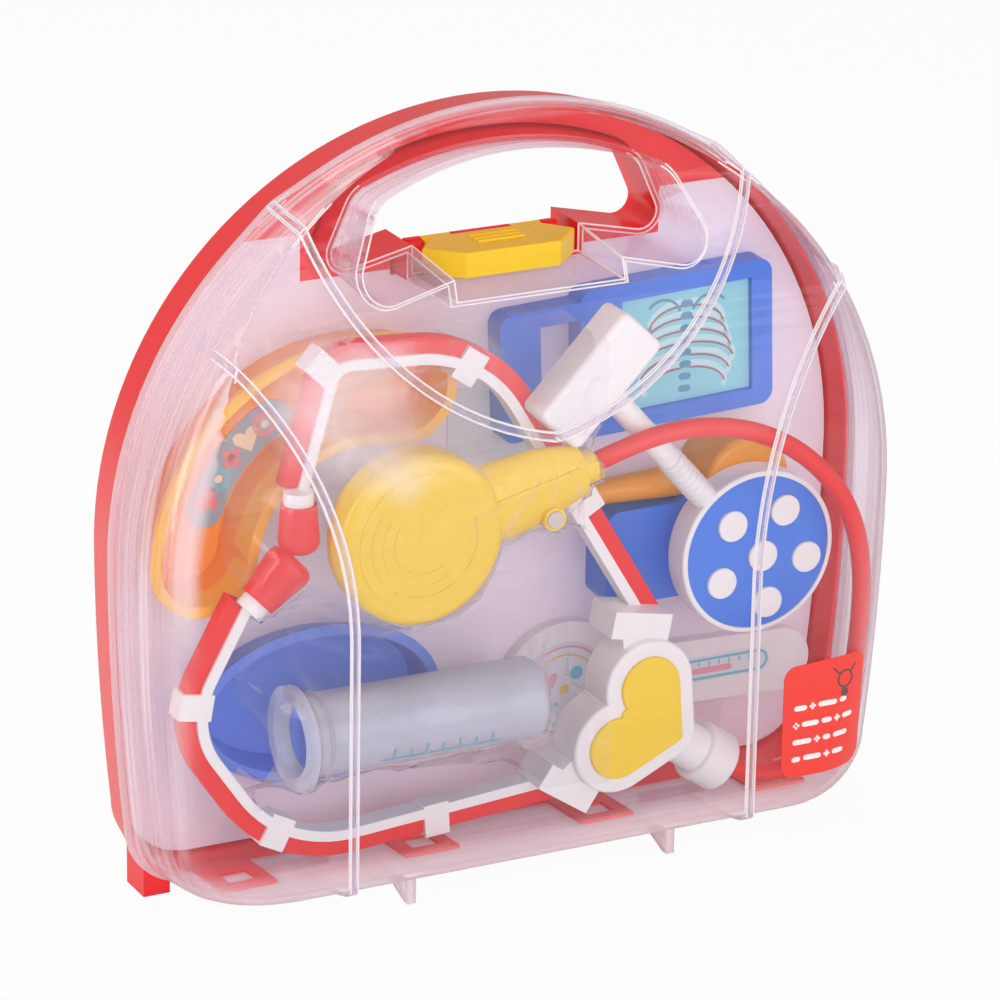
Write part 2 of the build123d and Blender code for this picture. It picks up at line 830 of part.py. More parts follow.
def plunger_seal():
    start_x = syringe_left_x + plunger_start + plunger_reach
    radius = syringe_radius - syringe_wall - turning_gap
    return rod_x(radius, start_x, seal_length, syringe_axis_y, syringe_axis_z)


def arm_curve(route, bends):
    return FilletPolyline(*route, radius=list(bends))


def outer_side(route, bends):
    """The band along the outer side of an arm, which is the longer of the two beside its spine."""
    curve = arm_curve(route, bends)
    bands = trace(curve, arm_spine + 2 * strip_width) - trace(curve, arm_spine)
    return bands.faces().sort_by(SortBy.AREA)[-1]


def arm_blocks(blocks, side, grow):
    """The bracket blocks that hold the rubber strip against an arm, grown along it by grow."""
    across = arm_spine + strip_width + 2 * arm_block_margin
    faces = Sketch()
    for x, z, turn in blocks:
        place = along((x, z), turn, 0, side * strip_width / 2)
        faces += Pos(*place) * Rot(0, 0, turn) * Rectangle(arm_block_width + 2 * grow, across)
    return faces


def arm(route, bends, blocks, side, ear):
    """A stethoscope arm: a flat spine with bracket blocks and a round collar for the ear tip."""
    front_y = arm_back_y - arm_depth
    spine = plate(trace(arm_curve(route, bends), arm_spine), arm_back_y, front_y)
    body = spine + plate(arm_blocks(blocks, side, 0), arm_back_y, front_y)
    start, end = ear_line(ear)
    direction = (end - start).normalized()
    collar_start = start - direction * ear_collar_length
    body += bar_between(tuple(collar_start), tuple(start), ear_collar_radius)
    reach = plate(heart_outline(0) + heart_blocks(), far, -far)
    return body - reach


def arm_strip(route, bends, blocks, side, ear):
    """The red rubber strip along the outer side of an arm, between its blocks."""
    middle_y = arm_back_y - arm_depth / 2
    drawing = outer_side(route, bends) - arm_blocks(blocks, side, 0) - heart_outline(0) - heart_blocks()
    start, end = ear_line(ear)
    direction = (end - start).normalized()
    strip = plate(drawing, middle_y + strip_depth / 2, middle_y - strip_depth / 2)
    reach = ear_collar_length + running_gap
    clear = bar_between(tuple(start - direction * reach), tuple(end), ear_collar_radius + strip_width / 2)
    return strip - clear


def ear_line(ear):
    """Start and end of an ear tip in space."""
    (start_x, start_z), (end_x, end_z) = ear[:2]
    return Vector(start_x, ear_y, start_z), Vector(end_x, ear_y, end_z)


def ear_tip(ear):
    """A soft round ear tip that widens towards its end."""
    start, end = ear_line(ear)
    tip = bar_between(tuple(start), tuple(end), *ear[2:])
    far_face = tip.faces().filter_by(GeomType.PLANE).sort_by_distance(end)[0]
    return fillet(far_face.edges(), ear_tip_rounding)


def heart_lobes():
    """The centres of the heart's lower and upper lobes."""
    return [along(heart_centre, heart_turn, 0, side * lobe_side) for side in (-1, 1)]


def heart_outline(inset):
    """A heart with its two lobes to the left and its tip at the lower right, drawn in by inset."""
    tip = along(heart_centre, heart_turn, heart_tip_reach)
    notch = along(heart_centre, heart_turn, -heart_notch_reach)
    lower, upper = heart_lobes()
    tip_face = Pos(*tip) * Circle(heart_tip_radius - inset)
    faces = make_face(Polyline(lower, notch, upper, tip, lower))
    for lobe in (lower, upper):
        lobe_face = Pos(*lobe) * Circle(lobe_radius - inset)
        faces += make_hull(lobe_face.edges() + tip_face.edges())
    return faces


def heart_blocks():
    """The two bracket blocks of the heart, where the arms meet it, with their necks."""
    block = Rectangle(arm_block_length, arm_block_height)
    lower, upper = heart_lobes()
    faces = Pos(*upper_block_centre) * Rot(0, 0, upper_block_turn) * block
    faces += Pos(*lower_block_centre) * Rot(0, 0, lower_block_turn) * block
    faces += trace(Line(upper_block_centre, upper), heart_neck_width)
    faces += trace(Line(lower_block_centre, lower), heart_neck_width)
    return faces


def heart_body():
    body = plate(heart_outline(0), heart_back_y, heart_front_y)
    body = fillet(body.faces().sort_by(Axis.Y)[0].edges(), badge_stand)
    body += plate(heart_blocks(), arm_back_y, heart_front_y + 2 * badge_depth)
    pocket = plate(heart_outline(heart_border), heart_front_y + badge_depth, heart_front_y)
    return body - pocket


def heart_badge():
    face = heart_outline(heart_border + fixed_gap)
    badge = plate(face, heart_front_y + badge_depth, heart_front_y - badge_stand)
    return fillet(badge.faces().sort_by(Axis.Y)[0].edges(), badge_stand / 2)


def hose_spigot():
    """The round spigot between the heart and the hose."""
    (start_x, start_z), (end_x, end_z) = heart_centre, spigot_end
    axis = Vector(end_x - start_x, 0, end_z - start_z).normalized()
    end = Vector(end_x, spigot_y, end_z)
    start = Vector(start_x, spigot_y, start_z) + axis * spigot_start
    neck = bar_between(tuple(start), tuple(end), spigot_neck_radius)
    mouth = bar_between(tuple(end - axis * spigot_mouth_length), tuple(end), spigot_radius)
    mouth = fillet(mouth.edges().filter_by(GeomType.CIRCLE), badge_stand)
    socket = bar_between(tuple(end - axis * hose_socket_depth), tuple(end + axis), hose_socket_radius)
    return neck + mouth - socket - heart_body() - plate(heart_blocks(), far, -far)


def chest_piece():
    """The round chest piece with the neck that the hose plugs into."""
    back_y = chest_y + chest_thickness / 2
    front_y = chest_y - chest_thickness / 2
    drum = plate(Pos(*chest_centre) * Circle(chest_radius), back_y, front_y)
    drum = fillet(drum.faces().sort_by(Axis.Y)[0].edges(), chest_front_rounding)
    drum = fillet(drum.faces().sort_by(Axis.Y)[-1].edges(), chest_back_rounding)
    drum += plate(Pos(*chest_centre) * Circle(chest_ring_radius), chest_y, front_y - chest_ring_height)
    sections = []
    for reach, half, depth in neck_sections:
        x, z = along(chest_centre, neck_turn, reach)
        turn = math.radians(neck_turn)
        place = Plane(origin=(x, chest_y, z), x_dir=(0, 1, 0), z_dir=(math.cos(turn), 0, math.sin(turn)))
        sections.append(place * Ellipse(depth, half))
    neck = loft(sections)
    boss = plate(Pos(*screw_place) * Circle(screw_boss_radius), screw_boss_back_y, screw_front_y)
    body = drum + neck + collar(0, collar_length, collar_radius) + boss
    body -= collar(collar_length - hose_socket_depth, hose_socket_depth + 1, hose_socket_radius)
    body -= plate(Pos(*screw_place) * Circle(screw_radius), screw_front_y + screw_length, screw_front_y)
    recess = plate(Pos(*chest_centre) * Circle(diaphragm_radius), back_y, back_y - diaphragm_thickness)
    return body - recess


def collar(start, length, radius):
    """A round bar along the neck axis, from start beyond the end of the neck."""
    start_x, start_z = along(chest_centre, neck_turn, collar_reach + start)
    end_x, end_z = along(chest_centre, neck_turn, collar_reach + start + length)
    return bar_between((start_x, chest_y, start_z), (end_x, chest_y, end_z), radius)


def chest_diaphragm():
    back_y = chest_y + chest_thickness / 2
    face = Pos(*chest_centre) * Circle(diaphragm_radius - running_gap)
    return plate(face, back_y, back_y - diaphragm_thickness)


def chest_screw():
    face = Pos(*screw_place) * Circle(screw_radius - fixed_gap)
    screw = plate(face, screw_front_y + screw_length, screw_front_y - badge_stand / 2)
    return fillet(screw.faces().sort_by(Axis.Y)[0].edges(), badge_stand / 2)


def hammer_head():
    face = Pos(*hammer_head_centre) * Rot(0, 0, hammer_head_turn)
    face = face * RectangleRounded(hammer_head_length, hammer_head_width, hammer_head_corner)
    head = plate(face, hammer_head_back_y, hammer_head_front_y)
    return fillet(head.faces().sort_by(Axis.Y)[0].edges(), hammer_head_edge)


def disc_body():
    face = Pos(*disc_centre) * Circle(disc_radius)
    body = plate(face, disc_back_y, disc_front_y)
    body = fillet(body.faces().sort_by(Axis.Y)[0].edges(), disc_edge_rounding / 2)
    body = fillet(body.faces().sort_by(Axis.Y)[-1].edges(), disc_edge_rounding)
    front_y = disc_front_y + disc_face_sink
    pocket = Pos(*disc_centre) * Circle(disc_face_radius)
    return body - plate(pocket, front_y + disc_face_depth, disc_front_y)


def disc_face():
    front_y = disc_front_y + disc_face_sink
    face = Pos(*disc_centre) * Circle(disc_face_radius - fixed_gap)
    return plate(face - stud_faces(fixed_gap), front_y + disc_face_depth, front_y)


def disc_studs():
    floor_y = disc_front_y + disc_face_sink + disc_face_depth
    studs = plate(stud_faces(0), floor_y, floor_y - stud_height)
    front_edges = studs.edges().group_by(Axis.Y)[0]
    return fillet(front_edges, stud_height / 4)


def stud_faces(grow):
    """Five round studs in a ring and one in the middle."""
    centre = (disc_centre[0] + stud_ring_shift[0], disc_centre[1] + stud_ring_shift[1])
    faces = Pos(*centre) * Circle(stud_radius + grow)
    for step in range(stud_count):
        place = along(centre, stud_ring_turn + 360 * step / stud_count, stud_ring_radius)
        faces += Pos(*place) * Circle(stud_radius + grow)
    return faces


def hammer_rod():
    start = (hammer_head_centre[0], rod_head_y, hammer_head_centre[1])
    end = (disc_centre[0], rod_disc_y, disc_centre[1])
    head = hammer_head()
    disc = plate(Pos(*disc_centre) * Circle(disc_radius), far, -far)
    return bar_between(start, end, rod_radius) - head - disc


def front_label():
    """The label stuck on the lower right of the clear front."""
    corners = Polyline(*label_corners, label_corners[0])
    face = make_face(corners)
    face = fillet(face.vertices(), label_corner_radius)
    prism = plate(face, 0, -far)
    return (front_dome(fixed_gap + label_thickness) & prism) - front_dome(fixed_gap)


def hose():
    """The hose, bent freely from the spigot round to the collar of the chest piece."""
    points = [Vector(*point) for point in hose_route]
    radii = []
    for before, here, after in zip(points, points[1:], points[2:]):
        half_turn = math.radians((here - before).get_angle(after - here)) / 2
        shorter = min((here - before).length, (after - here).length)
        radii.append(0.45 * shorter / math.tan(half_turn))
    print("hose bends", [round(radius) for radius in radii])
    curve = FilletPolyline(*hose_route, radius=radii)
    print("hose length", round(curve.length))
    start = Plane(origin=hose_route[0], z_dir=points[1] - points[0])
    return sweep(start * Circle(hose_radius), path=curve)


pieces = {
    "rear_shell": rear_shell(),
    "front_shell": front_shell(),
    "front_label": front_label(),
    "hinge_pins": hinge_pins(),
    "latch": latch(),
    "latch_pin": latch_pin(),
    "card_insert": card_insert(),
    "kidney_dish": kidney_dish(),
    "kidney_sticker": kidney_sticker(),
    "oval_dish": oval_dish(),
    "viewer_frame": viewer_frame(),
    "viewer_picture": viewer_picture(),
    "chart_card": chart_card(),
    "otoscope_handle": otoscope_handle(),
    "otoscope_head": otoscope_head(),
    "otoscope_cone": otoscope_cone(),
    "thermometer_body": thermometer_body(),
    "thermometer_dial": thermometer_dial(),
    "thermometer_strip": thermometer_strip(),
    "syringe_barrel": syringe_barrel(),
    "syringe_cap": syringe_cap(),
    "plunger_rod": plunger_rod(),
    "plunger_seal": plunger_seal(),
    "heart_body": heart_body(),
    "heart_badge": heart_badge(),
    "hose_spigot": hose_spigot(),
    "hose": hose(),
    "chest_piece": chest_piece(),
    "chest_diaphragm": chest_diaphragm(),
    "chest_screw": chest_screw(),
    "upper_arm": arm(upper_arm_route, upper_arm_bends, upper_arm_blocks, 1, upper_ear),
    "lower_arm": arm(lower_arm_route, lower_arm_bends, lower_arm_blocks, -1, lower_ear),
    "upper_arm_strip": arm_strip(upper_arm_route, upper_arm_bends, upper_arm_blocks, 1, upper_ear),
    "lower_arm_strip": arm_strip(lower_arm_route, lower_arm_bends, lower_arm_blocks, -1, lower_ear),
    "ear_tip_upper": ear_tip(upper_ear),
    "ear_tip_lower": ear_tip(lower_ear),
    "hammer_head": hammer_head(),
    "hammer_rod": hammer_rod(),
    "disc_body": disc_body(),
    "disc_face": disc_face(),
    "disc_studs": disc_studs(),
}

for name, piece in pieces.items():
    export_step(Pos(0, seam_y, 0) * piece, f"parts/{name}.step")
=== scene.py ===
"""Looks of the toy doctor case: clear front shell, red back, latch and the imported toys."""

import json
import math

import bmesh
import bpy
import numpy
from mathutils import Matrix, Vector, noise
from mathutils.bvhtree import BVHTree
from mathutils.geometry import convex_hull_2d

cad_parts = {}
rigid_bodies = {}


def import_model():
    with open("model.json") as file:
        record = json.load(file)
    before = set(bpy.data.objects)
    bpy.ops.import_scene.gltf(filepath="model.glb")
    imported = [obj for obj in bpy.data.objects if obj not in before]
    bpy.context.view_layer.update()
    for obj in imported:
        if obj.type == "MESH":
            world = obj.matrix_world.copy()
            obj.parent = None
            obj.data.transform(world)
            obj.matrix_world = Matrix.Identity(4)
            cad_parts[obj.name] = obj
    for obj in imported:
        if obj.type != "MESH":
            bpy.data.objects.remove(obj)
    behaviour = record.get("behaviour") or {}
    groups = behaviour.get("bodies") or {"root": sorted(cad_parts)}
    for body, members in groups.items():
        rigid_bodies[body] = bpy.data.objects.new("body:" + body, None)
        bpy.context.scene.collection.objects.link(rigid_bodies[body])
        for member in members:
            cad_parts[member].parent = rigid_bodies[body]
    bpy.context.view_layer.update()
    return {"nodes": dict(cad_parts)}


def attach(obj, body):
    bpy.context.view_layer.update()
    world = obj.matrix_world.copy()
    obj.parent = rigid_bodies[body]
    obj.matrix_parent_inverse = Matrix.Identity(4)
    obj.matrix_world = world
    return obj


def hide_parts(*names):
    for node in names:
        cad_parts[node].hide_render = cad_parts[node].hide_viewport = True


bl_info = {
    "name": "Toy doctor case",
    "version": (1, 0, 0),
    "blender": (4, 5, 0),
    "location": "View3D > Sidebar > Doctor case",
    "description": "Dresses the packed toy doctor case and sets its studio",
    "category": "Object",
}

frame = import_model()

MM = 0.001
SEAM_Y = 0.0156  # where the red back and the clear front meet
PACK_DEPTH = 0.04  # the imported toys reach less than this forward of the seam
ARCH_HUB_Z = 0.121  # height of the middle of the case's arch

PLASTIC_IOR = 1.5
FLOW_MARK = 30 * MM  # size of the flow marks in moulded plastic
FLOW_SHADE = 0.94  # how dark the darkest flow mark is
SKIN_GRAIN = 1.2 * MM  # size of the fine grain in its skin
SKIN_DEPTH = 0.03 * MM
GLOW_DEPTH = 3 * MM  # how far light spreads in it
SHARP_ANGLE = math.radians(30)  # edges sharper than this are rounded
WELD = 0.002 * MM  # points nearer than this are one
PRINT_SUNK = 0.04 * MM  # how far prints reach into their surface
IN_FRONT = -0.3  # a place in front of everything
BACKWARD = Vector((0, 1, 0))
FACE_ON_MIRROR = 0.02  # what a clear wall mirrors when seen face on
STREAK_LENGTH = 110 * MM  # painted reflection streaks in the clear side walls, laid like flow lines
STREAK_WIDTH = 3.4 * MM
MOTTLE = 22 * MM  # size of the clouds in the film's painted reflection patch
SMOOTH = {"interpolation_type": "SMOOTHSTEP"}
HOSE_DIAMETER = 0.0066

HOSE_ROUTE = (
    (0.0763, -0.0220, 0.0218),
    (0.0876, -0.0226, 0.0150),
    (0.1006, -0.0248, 0.0142),
    (0.1122, -0.0278, 0.0196),
    (0.1196, -0.0306, 0.0302),
    (0.1226, -0.0325, 0.0432),
    (0.1238, -0.0335, 0.0570),
    (0.1247, -0.0340, 0.0720),
    (0.1245, -0.0342, 0.0875),
    (0.1216, -0.0344, 0.1030),
    (0.1152, -0.0344, 0.1170),
    (0.1052, -0.0340, 0.1290),
    (0.0930, -0.0332, 0.1384),
    (0.0795, -0.0326, 0.1446),
    (0.0650, -0.0323, 0.1480),
    (0.0500, -0.0320, 0.1483),
    (0.0354, -0.0304, 0.1449),
    (0.0209, -0.0280, 0.1390),
)


# ---------------------------------------------------------------- settings


def hex_setting(name, default, description):
    """A colour setting, as an sRGB hex code."""
    return bpy.props.StringProperty(name=name, default=default, description=description)


def size_setting(name, default, lowest, description):
    """A size setting, in millimetres."""
    return bpy.props.FloatProperty(name=name, default=default, min=lowest, description=description)


class DoctorCaseColours(bpy.types.PropertyGroup):
    """Surface colours"""

    red_shell: hex_setting("Red shell", "#F7262A", "Back half, feet and handle housing")
    clear_shell: hex_setting("Clear shell", "#FEFCFE", "Tint of the clear front")
    latch: hex_setting("Latch", "#FFD01C", "Clasp at the handle")
    card: hex_setting("Backing card", "#F2E6F3", "Card behind the toys")
    orange: hex_setting("Kidney dish", "#FF9F22", "Floor and walls of the curved dish")
    dish_blue: hex_setting("Oval dish", "#6389EA", "The oval dish")
    toy_blue: hex_setting("Toy blue", "#3E7BE8", "Viewer, otoscope handle and plunger")
    amber: hex_setting("Otoscope head", "#F3A22B", "Head and cone of the otoscope")
    toy_yellow: hex_setting("Chest piece", "#FFD728", "Chest piece and heart badge")
    white: hex_setting("White plastic", "#F8F5F5", "Hammer, stethoscope arms and syringe cap")
    red_soft: hex_setting("Hose and ear tips", "#F31E20", "Soft red parts of the stethoscope")
    label: hex_setting("Label", "#FB4034", "Ground of the label on the front")
    floor: hex_setting("Floor", "#FFFFFF", "Studio floor")


class DoctorCaseSizes(bpy.types.PropertyGroup):
    """Sizes of the dressing, in millimetres"""

    edge_round: size_setting("Edge rounding", 0.4, 0.0, "Usual width of a rounded edge")
    edge_bead: size_setting("Edge beads", 0.3, 0.05, "Radius of the glints on the clear edges")
    camera_distance: size_setting("Camera distance", 1773.0, 100.0, "From the lens to the case")


def colours():
    """The colours set in the panel."""
    return bpy.context.scene.doctor_case_colours


def sizes():
    """The sizes set in the panel."""
    return bpy.context.scene.doctor_case_sizes


# ---------------------------------------------------------------- materials


def linear(hex_code):
    """An sRGB hex code as a linear colour with alpha."""
    parts = [int(hex_code[i : i + 2], 16) / 255 for i in (1, 3, 5)]
    return (*[p / 12.92 if p <= 0.04045 else ((p + 0.055) / 1.055) ** 2.4 for p in parts], 1.0)


def put(tree, kind, inputs=(), **settings):
    """Adds a node with its settings and feeds its inputs, given in order or by name or number.

    An input is a plain value, a socket, or a node, which then gives its first result.
    """
    made = tree.nodes.new(kind)
    for name, value in settings.items():
        setattr(made, name, value)
    for key, value in inputs.items() if isinstance(inputs, dict) else enumerate(inputs):
        if isinstance(value, bpy.types.Node):
            value = next(output for output in value.outputs if output.enabled)
        if isinstance(value, bpy.types.NodeSocket):
            tree.links.new(value, made.inputs[key])
        else:
            made.inputs[key].default_value = value
    return made


def new_material(name):
    """An empty material and its tree."""
    material = bpy.data.materials.new(name)
    material.use_nodes = True
    material.node_tree.nodes.clear()
    return material, material.node_tree


def toy_plastic(name, hex_code, rough=0.3, glow=0.0):
    """Moulded plastic: faint flow marks in the colour, a satin gloss that varies, a fine skin.

    The glow is the share of the light that sinks in and softens the shadows of thick, pale plastic.
    """
    material, tree = new_material(name)
    place = put(tree, "ShaderNodeTexCoord").outputs["Object"]
    flow = put(tree, "ShaderNodeTexNoise", {"Vector": place, "Scale": 1 / FLOW_MARK, "Detail": 3.0})
    light = linear(hex_code)
    dark = tuple(channel * FLOW_SHADE for channel in light[:3]) + (1.0,)
    grain = put(tree, "ShaderNodeTexNoise", {"Vector": place, "Scale": 1 / SKIN_GRAIN, "Detail": 2.0})
    inputs = {
        "Base Color": put(tree, "ShaderNodeMix", {0: flow, 6: dark, 7: light}, data_type="RGBA"),
        "Roughness": put(tree, "ShaderNodeMapRange", (flow, 0.0, 1.0, rough * 0.8, rough * 1.25)),
        "Normal": put(tree, "ShaderNodeBump", {"Height": grain, "Strength": 0.02, "Distance": SKIN_DEPTH}),
        "IOR": PLASTIC_IOR,
    }
    if glow:
        inputs["Subsurface Weight"] = glow
        inputs["Subsurface Radius"] = (1.0, 0.5, 0.25)
        inputs["Subsurface Scale"] = GLOW_DEPTH
    put(tree, "ShaderNodeOutputMaterial", {"Surface": put(tree, "ShaderNodeBsdfPrincipled", inputs)})
    return material


def lens_plastic(name, hex_code):
    """Thick clear plastic that bends what lies behind it, as a lens does, and lets the lamps through."""
    material, tree = new_material(name)
    inputs = {"Base Color": linear(hex_code), "Roughness": 0.03, "IOR": PLASTIC_IOR}
    inputs["Transmission Weight"] = 1.0
    let_light_through(tree, put(tree, "ShaderNodeBsdfPrincipled", inputs), hex_code)
    return material


def let_light_through(tree, shader, hex_code):
    """Ends a clear material: the rays that carry light to a matt surface pass it with a faint tint."""
    rays = put(tree, "ShaderNodeLightPath").outputs
    light_rays = rays["Is Shadow Ray"], rays["Is Diffuse Ray"]
    carried = put(tree, "ShaderNodeMath", light_rays, operation="MAXIMUM")
    passed = put(tree, "ShaderNodeBsdfTransparent", {"Color": linear(hex_code)})
    mix = put(tree, "ShaderNodeMixShader", (carried, shader, passed))
    put(tree, "ShaderNodeOutputMaterial", {"Surface": mix})


def thin_clear(name, hex_code, haze=0.015, edge=0.35, mirror=0.6, rough=0.04, **extras):
    """A thin clear wall: it shows what is behind unbent, mirrors the lamps, and clouds towards its edges.

    The extras are rim_hex and cloud_hex, the tints of its edges and of its haze, streaks, the strength
    of the painted reflection streaks in its side walls, and patch, the place, reach and strength of a
    painted reflection patch.
    """
    material, tree = new_material(name)
    facing = put(tree, "ShaderNodeLayerWeight", {"Blend": 0.5}).outputs["Facing"]
    rim = {0: rising(tree, facing, 4.0, 0.0, 1.0), 7: linear(extras.get("rim_hex", "#E3CFE2"))}
    tint = put(tree, "ShaderNodeMix", {6: linear(hex_code), **rim}, data_type="RGBA")
    cloud = {"Color": linear(extras.get("cloud_hex", "#FFF8FA"))}
    clouded = rising(tree, facing, 3.0, haze, edge)
    # painted reflections: streaks and a patch, laid over the haze as milky parts
    veils = []
    if "streaks" in extras:
        veil, cloud["Color"] = painted_wall_reflections(tree, extras["streaks"])
        veils.append(veil)
    if "patch" in extras:
        veils.append(painted_reflection_patch(tree, *extras["patch"]))
    for veil in veils:
        clouded = put(tree, "ShaderNodeMath", (clouded, veil), operation="ADD", use_clamp=True)
    seen = put(tree, "ShaderNodeBsdfTransparent", {"Color": tint})
    body = put(tree, "ShaderNodeMixShader", (clouded, seen, put(tree, "ShaderNodeBsdfDiffuse", cloud)))
    glint = put(tree, "ShaderNodeBsdfGlossy", {"Roughness": rough})
    mirrored = rising(tree, facing, 5.0, FACE_ON_MIRROR, mirror)
    let_light_through(tree, put(tree, "ShaderNodeMixShader", (mirrored, body, glint)), "#FEFDFE")
    return material


def rising(tree, source, power, low, high):
    """A value that climbs from low to high as the power of its source."""
    curve = put(tree, "ShaderNodeMath", (source, power), operation="POWER")
    return put(tree, "ShaderNodeMapRange", (curve, 0.0, 1.0, low, high))


def overlap(tree, *masks):
    """A mask that is one where all the given ones are."""
    whole = masks[0]
    for mask in masks[1:]:
        whole = put(tree, "ShaderNodeMath", (whole, mask), operation="MULTIPLY")
    return whole


def painted_wall_reflections(tree, strength):
    """Painted reflections on the clear front: milky streaks and their rosy tint, which stands in for the
    red back mirrored.

    The painted reflection streaks run round the side walls like flow lines, a painted glare whitens the
    left shoulder, and the foot is clouded.
    """
    coord = put(tree, "ShaderNodeTexCoord").outputs
    place = coord["Object"]
    scale = (1 / STREAK_LENGTH, 1 / STREAK_WIDTH, 1 / STREAK_LENGTH)
    stretch = put(tree, "ShaderNodeMapping", {"Vector": place, "Scale": scale})
    # the noise of the painted reflection streaks, which run like flow lines
    flow = put(tree, "ShaderNodeTexNoise", {"Vector": stretch, "Scale": 1.0, "Detail": 2.0})
    lines = put(tree, "ShaderNodeMapRange", (flow, 0.42, 0.7, 0.0, strength))
    normal = put(tree, "ShaderNodeSeparateXYZ", (coord["Normal"],)).outputs
    front = put(tree, "ShaderNodeMath", (normal["Y"],), operation="ABSOLUTE")
    upright = put(tree, "ShaderNodeMapRange", (front, 0.25, 0.75, 1.0, 0.0))
    streaks = overlap(tree, lines, upright, outer_wall(tree, place))
    # painted glare: a white haze where the left shoulder turns away
    slanted = put(tree, "ShaderNodeMapRange", (front, 0.42, 0.58, 0.0, 0.42), **SMOOTH)
    not_flat = put(tree, "ShaderNodeMapRange", (front, 0.66, 0.8, 1.0, 0.0), **SMOOTH)
    veil = overlap(tree, slanted, not_flat, left_shoulder_glare(tree, place))
    height = put(tree, "ShaderNodeSeparateXYZ", (place,)).outputs["Z"]
    foot = put(tree, "ShaderNodeMapRange", (height, 8 * MM, 24 * MM, 0.5, 0.0))
    for part in (streaks, foot):
        veil = put(tree, "ShaderNodeMath", (veil, part), operation="MAXIMUM")
    # painted reflection of the red back: a pink tint in the streaks, white in the glare
    white = linear("#FFFFFF")
    pink = put(tree, "ShaderNodeMix", {0: flow, 6: linear("#F9A3B4"), 7: white}, data_type="RGBA")
    return veil, put(tree, "ShaderNodeMix", {0: slanted, 6: pink, 7: white}, data_type="RGBA")


def left_shoulder_glare(tree, place):
    """One on the upper left shoulder of the case, where a painted glare whitens its corner, and zero
    elsewhere.
    """
    axes = put(tree, "ShaderNodeSeparateXYZ", (place,)).outputs
    sides = (("X", -100, -60, 1.0, 0.0), ("Z", 90, 130, 0.0, 1.0), ("Z", 225, 245, 1.0, 0.0))
    fades = []
    for axis, start, end, first, last in sides:
        span = (axes[axis], start * MM, end * MM, first, last)
        fades.append(put(tree, "ShaderNodeMapRange", span, **SMOOTH))
    return overlap(tree, *fades)


def outer_wall(tree, place):
    """One on the outer walls of the case and zero round its handle opening."""
    axes = put(tree, "ShaderNodeSeparateXYZ", (place,)).outputs
    above_hub = put(tree, "ShaderNodeMath", (axes["Z"], ARCH_HUB_Z), operation="SUBTRACT")
    rise = put(tree, "ShaderNodeMath", (above_hub, 0.0), operation="MAXIMUM")
    flat = put(tree, "ShaderNodeCombineXYZ", {"X": axes["X"], "Z": rise})
    away = put(tree, "ShaderNodeVectorMath", (flat,), operation="LENGTH")
    side = put(tree, "ShaderNodeMapRange", (away, 108 * MM, 120 * MM, 0.0, 1.0))
    bottom = put(tree, "ShaderNodeMapRange", (axes["Z"], 12 * MM, 22 * MM, 1.0, 0.0))
    return put(tree, "ShaderNodeMath", (side, bottom), operation="MAXIMUM")


def painted_reflection_patch(tree, x_mm, z_mm, reach_mm, strength):
    """A soft, mottled painted reflection round one place: a milky haze in the film."""
    place = put(tree, "ShaderNodeTexCoord").outputs["Object"]
    mottle = put(tree, "ShaderNodeTexNoise", {"Vector": place, "Scale": 1 / MOTTLE, "Detail": 2.0})
    centre = (x_mm * MM, 0.0, z_mm * MM)
    centred = put(tree, "ShaderNodeVectorMath", (place, centre), operation="SUBTRACT")
    level = put(tree, "ShaderNodeVectorMath", (centred, (1.0, 0.0, 1.0)), operation="MULTIPLY")
    away = put(tree, "ShaderNodeVectorMath", (level,), operation="LENGTH")
    reach = reach_mm * MM
    wander = put(tree, "ShaderNodeMath", (mottle, 0.9 * reach, away), operation="MULTIPLY_ADD")
    return put(tree, "ShaderNodeMapRange", (wander, 0.8 * reach, 1.5 * reach, strength, 0.0), **SMOOTH)


# ---------------------------------------------------------------- mesh helpers


def add_object(name, mesh, body, slot, *materials):
    """A piece in place, riding on a body, with its materials; the slot is not used."""
    obj = bpy.data.objects.new(name, mesh)
    bpy.context.scene.collection.objects.link(obj)
    for material in materials:
        mesh.materials.append(material)
    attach(obj, body)
    return obj


def merged_copy(node_name):
    """A welded copy of a CAD node's mesh."""
    mesh = frame["nodes"][node_name].data.copy()
    mesh.materials.clear()
    work = bmesh.new()
    work.from_mesh(mesh)
    bmesh.ops.remove_doubles(work, verts=work.verts, dist=WELD)
    bmesh.ops.dissolve_degenerate(work, dist=WELD, edges=work.edges)
    bmesh.ops.recalc_face_normals(work, faces=work.faces)
    work.to_mesh(mesh)
    work.free()
    return mesh


def draft(name, data):
    """An object that is made only to be baked."""
    obj = bpy.data.objects.new(name + "_draft", data)
    bpy.context.scene.collection.objects.link(obj)
    return obj


def baked(obj):
    """The plain mesh that an object and its modifiers come to."""
    now = bpy.context.evaluated_depsgraph_get()
    return bpy.data.meshes.new_from_object(obj.evaluated_get(now), depsgraph=now)


def round_and_smooth(obj, width_mm):
    """Rounds the sharp edges, shades the rest smooth and bakes both into the mesh."""
    mesh = obj.data
    mesh.shade_smooth()
    mesh.set_sharp_from_angle(angle=SHARP_ANGLE)
    if width_mm:
        bevel = obj.modifiers.new("Bevel", "BEVEL")
        bevel.width = width_mm * MM
        bevel.segments = 2
        bevel.limit_method = "ANGLE"
        bevel.angle_limit = SHARP_ANGLE
        bevel.harden_normals = False
    weighted = obj.modifiers.new("Weighted", "WEIGHTED_NORMAL")
    weighted.keep_sharp = True
    obj.data = baked(obj)
    obj.modifiers.clear()
    bpy.data.meshes.remove(mesh)


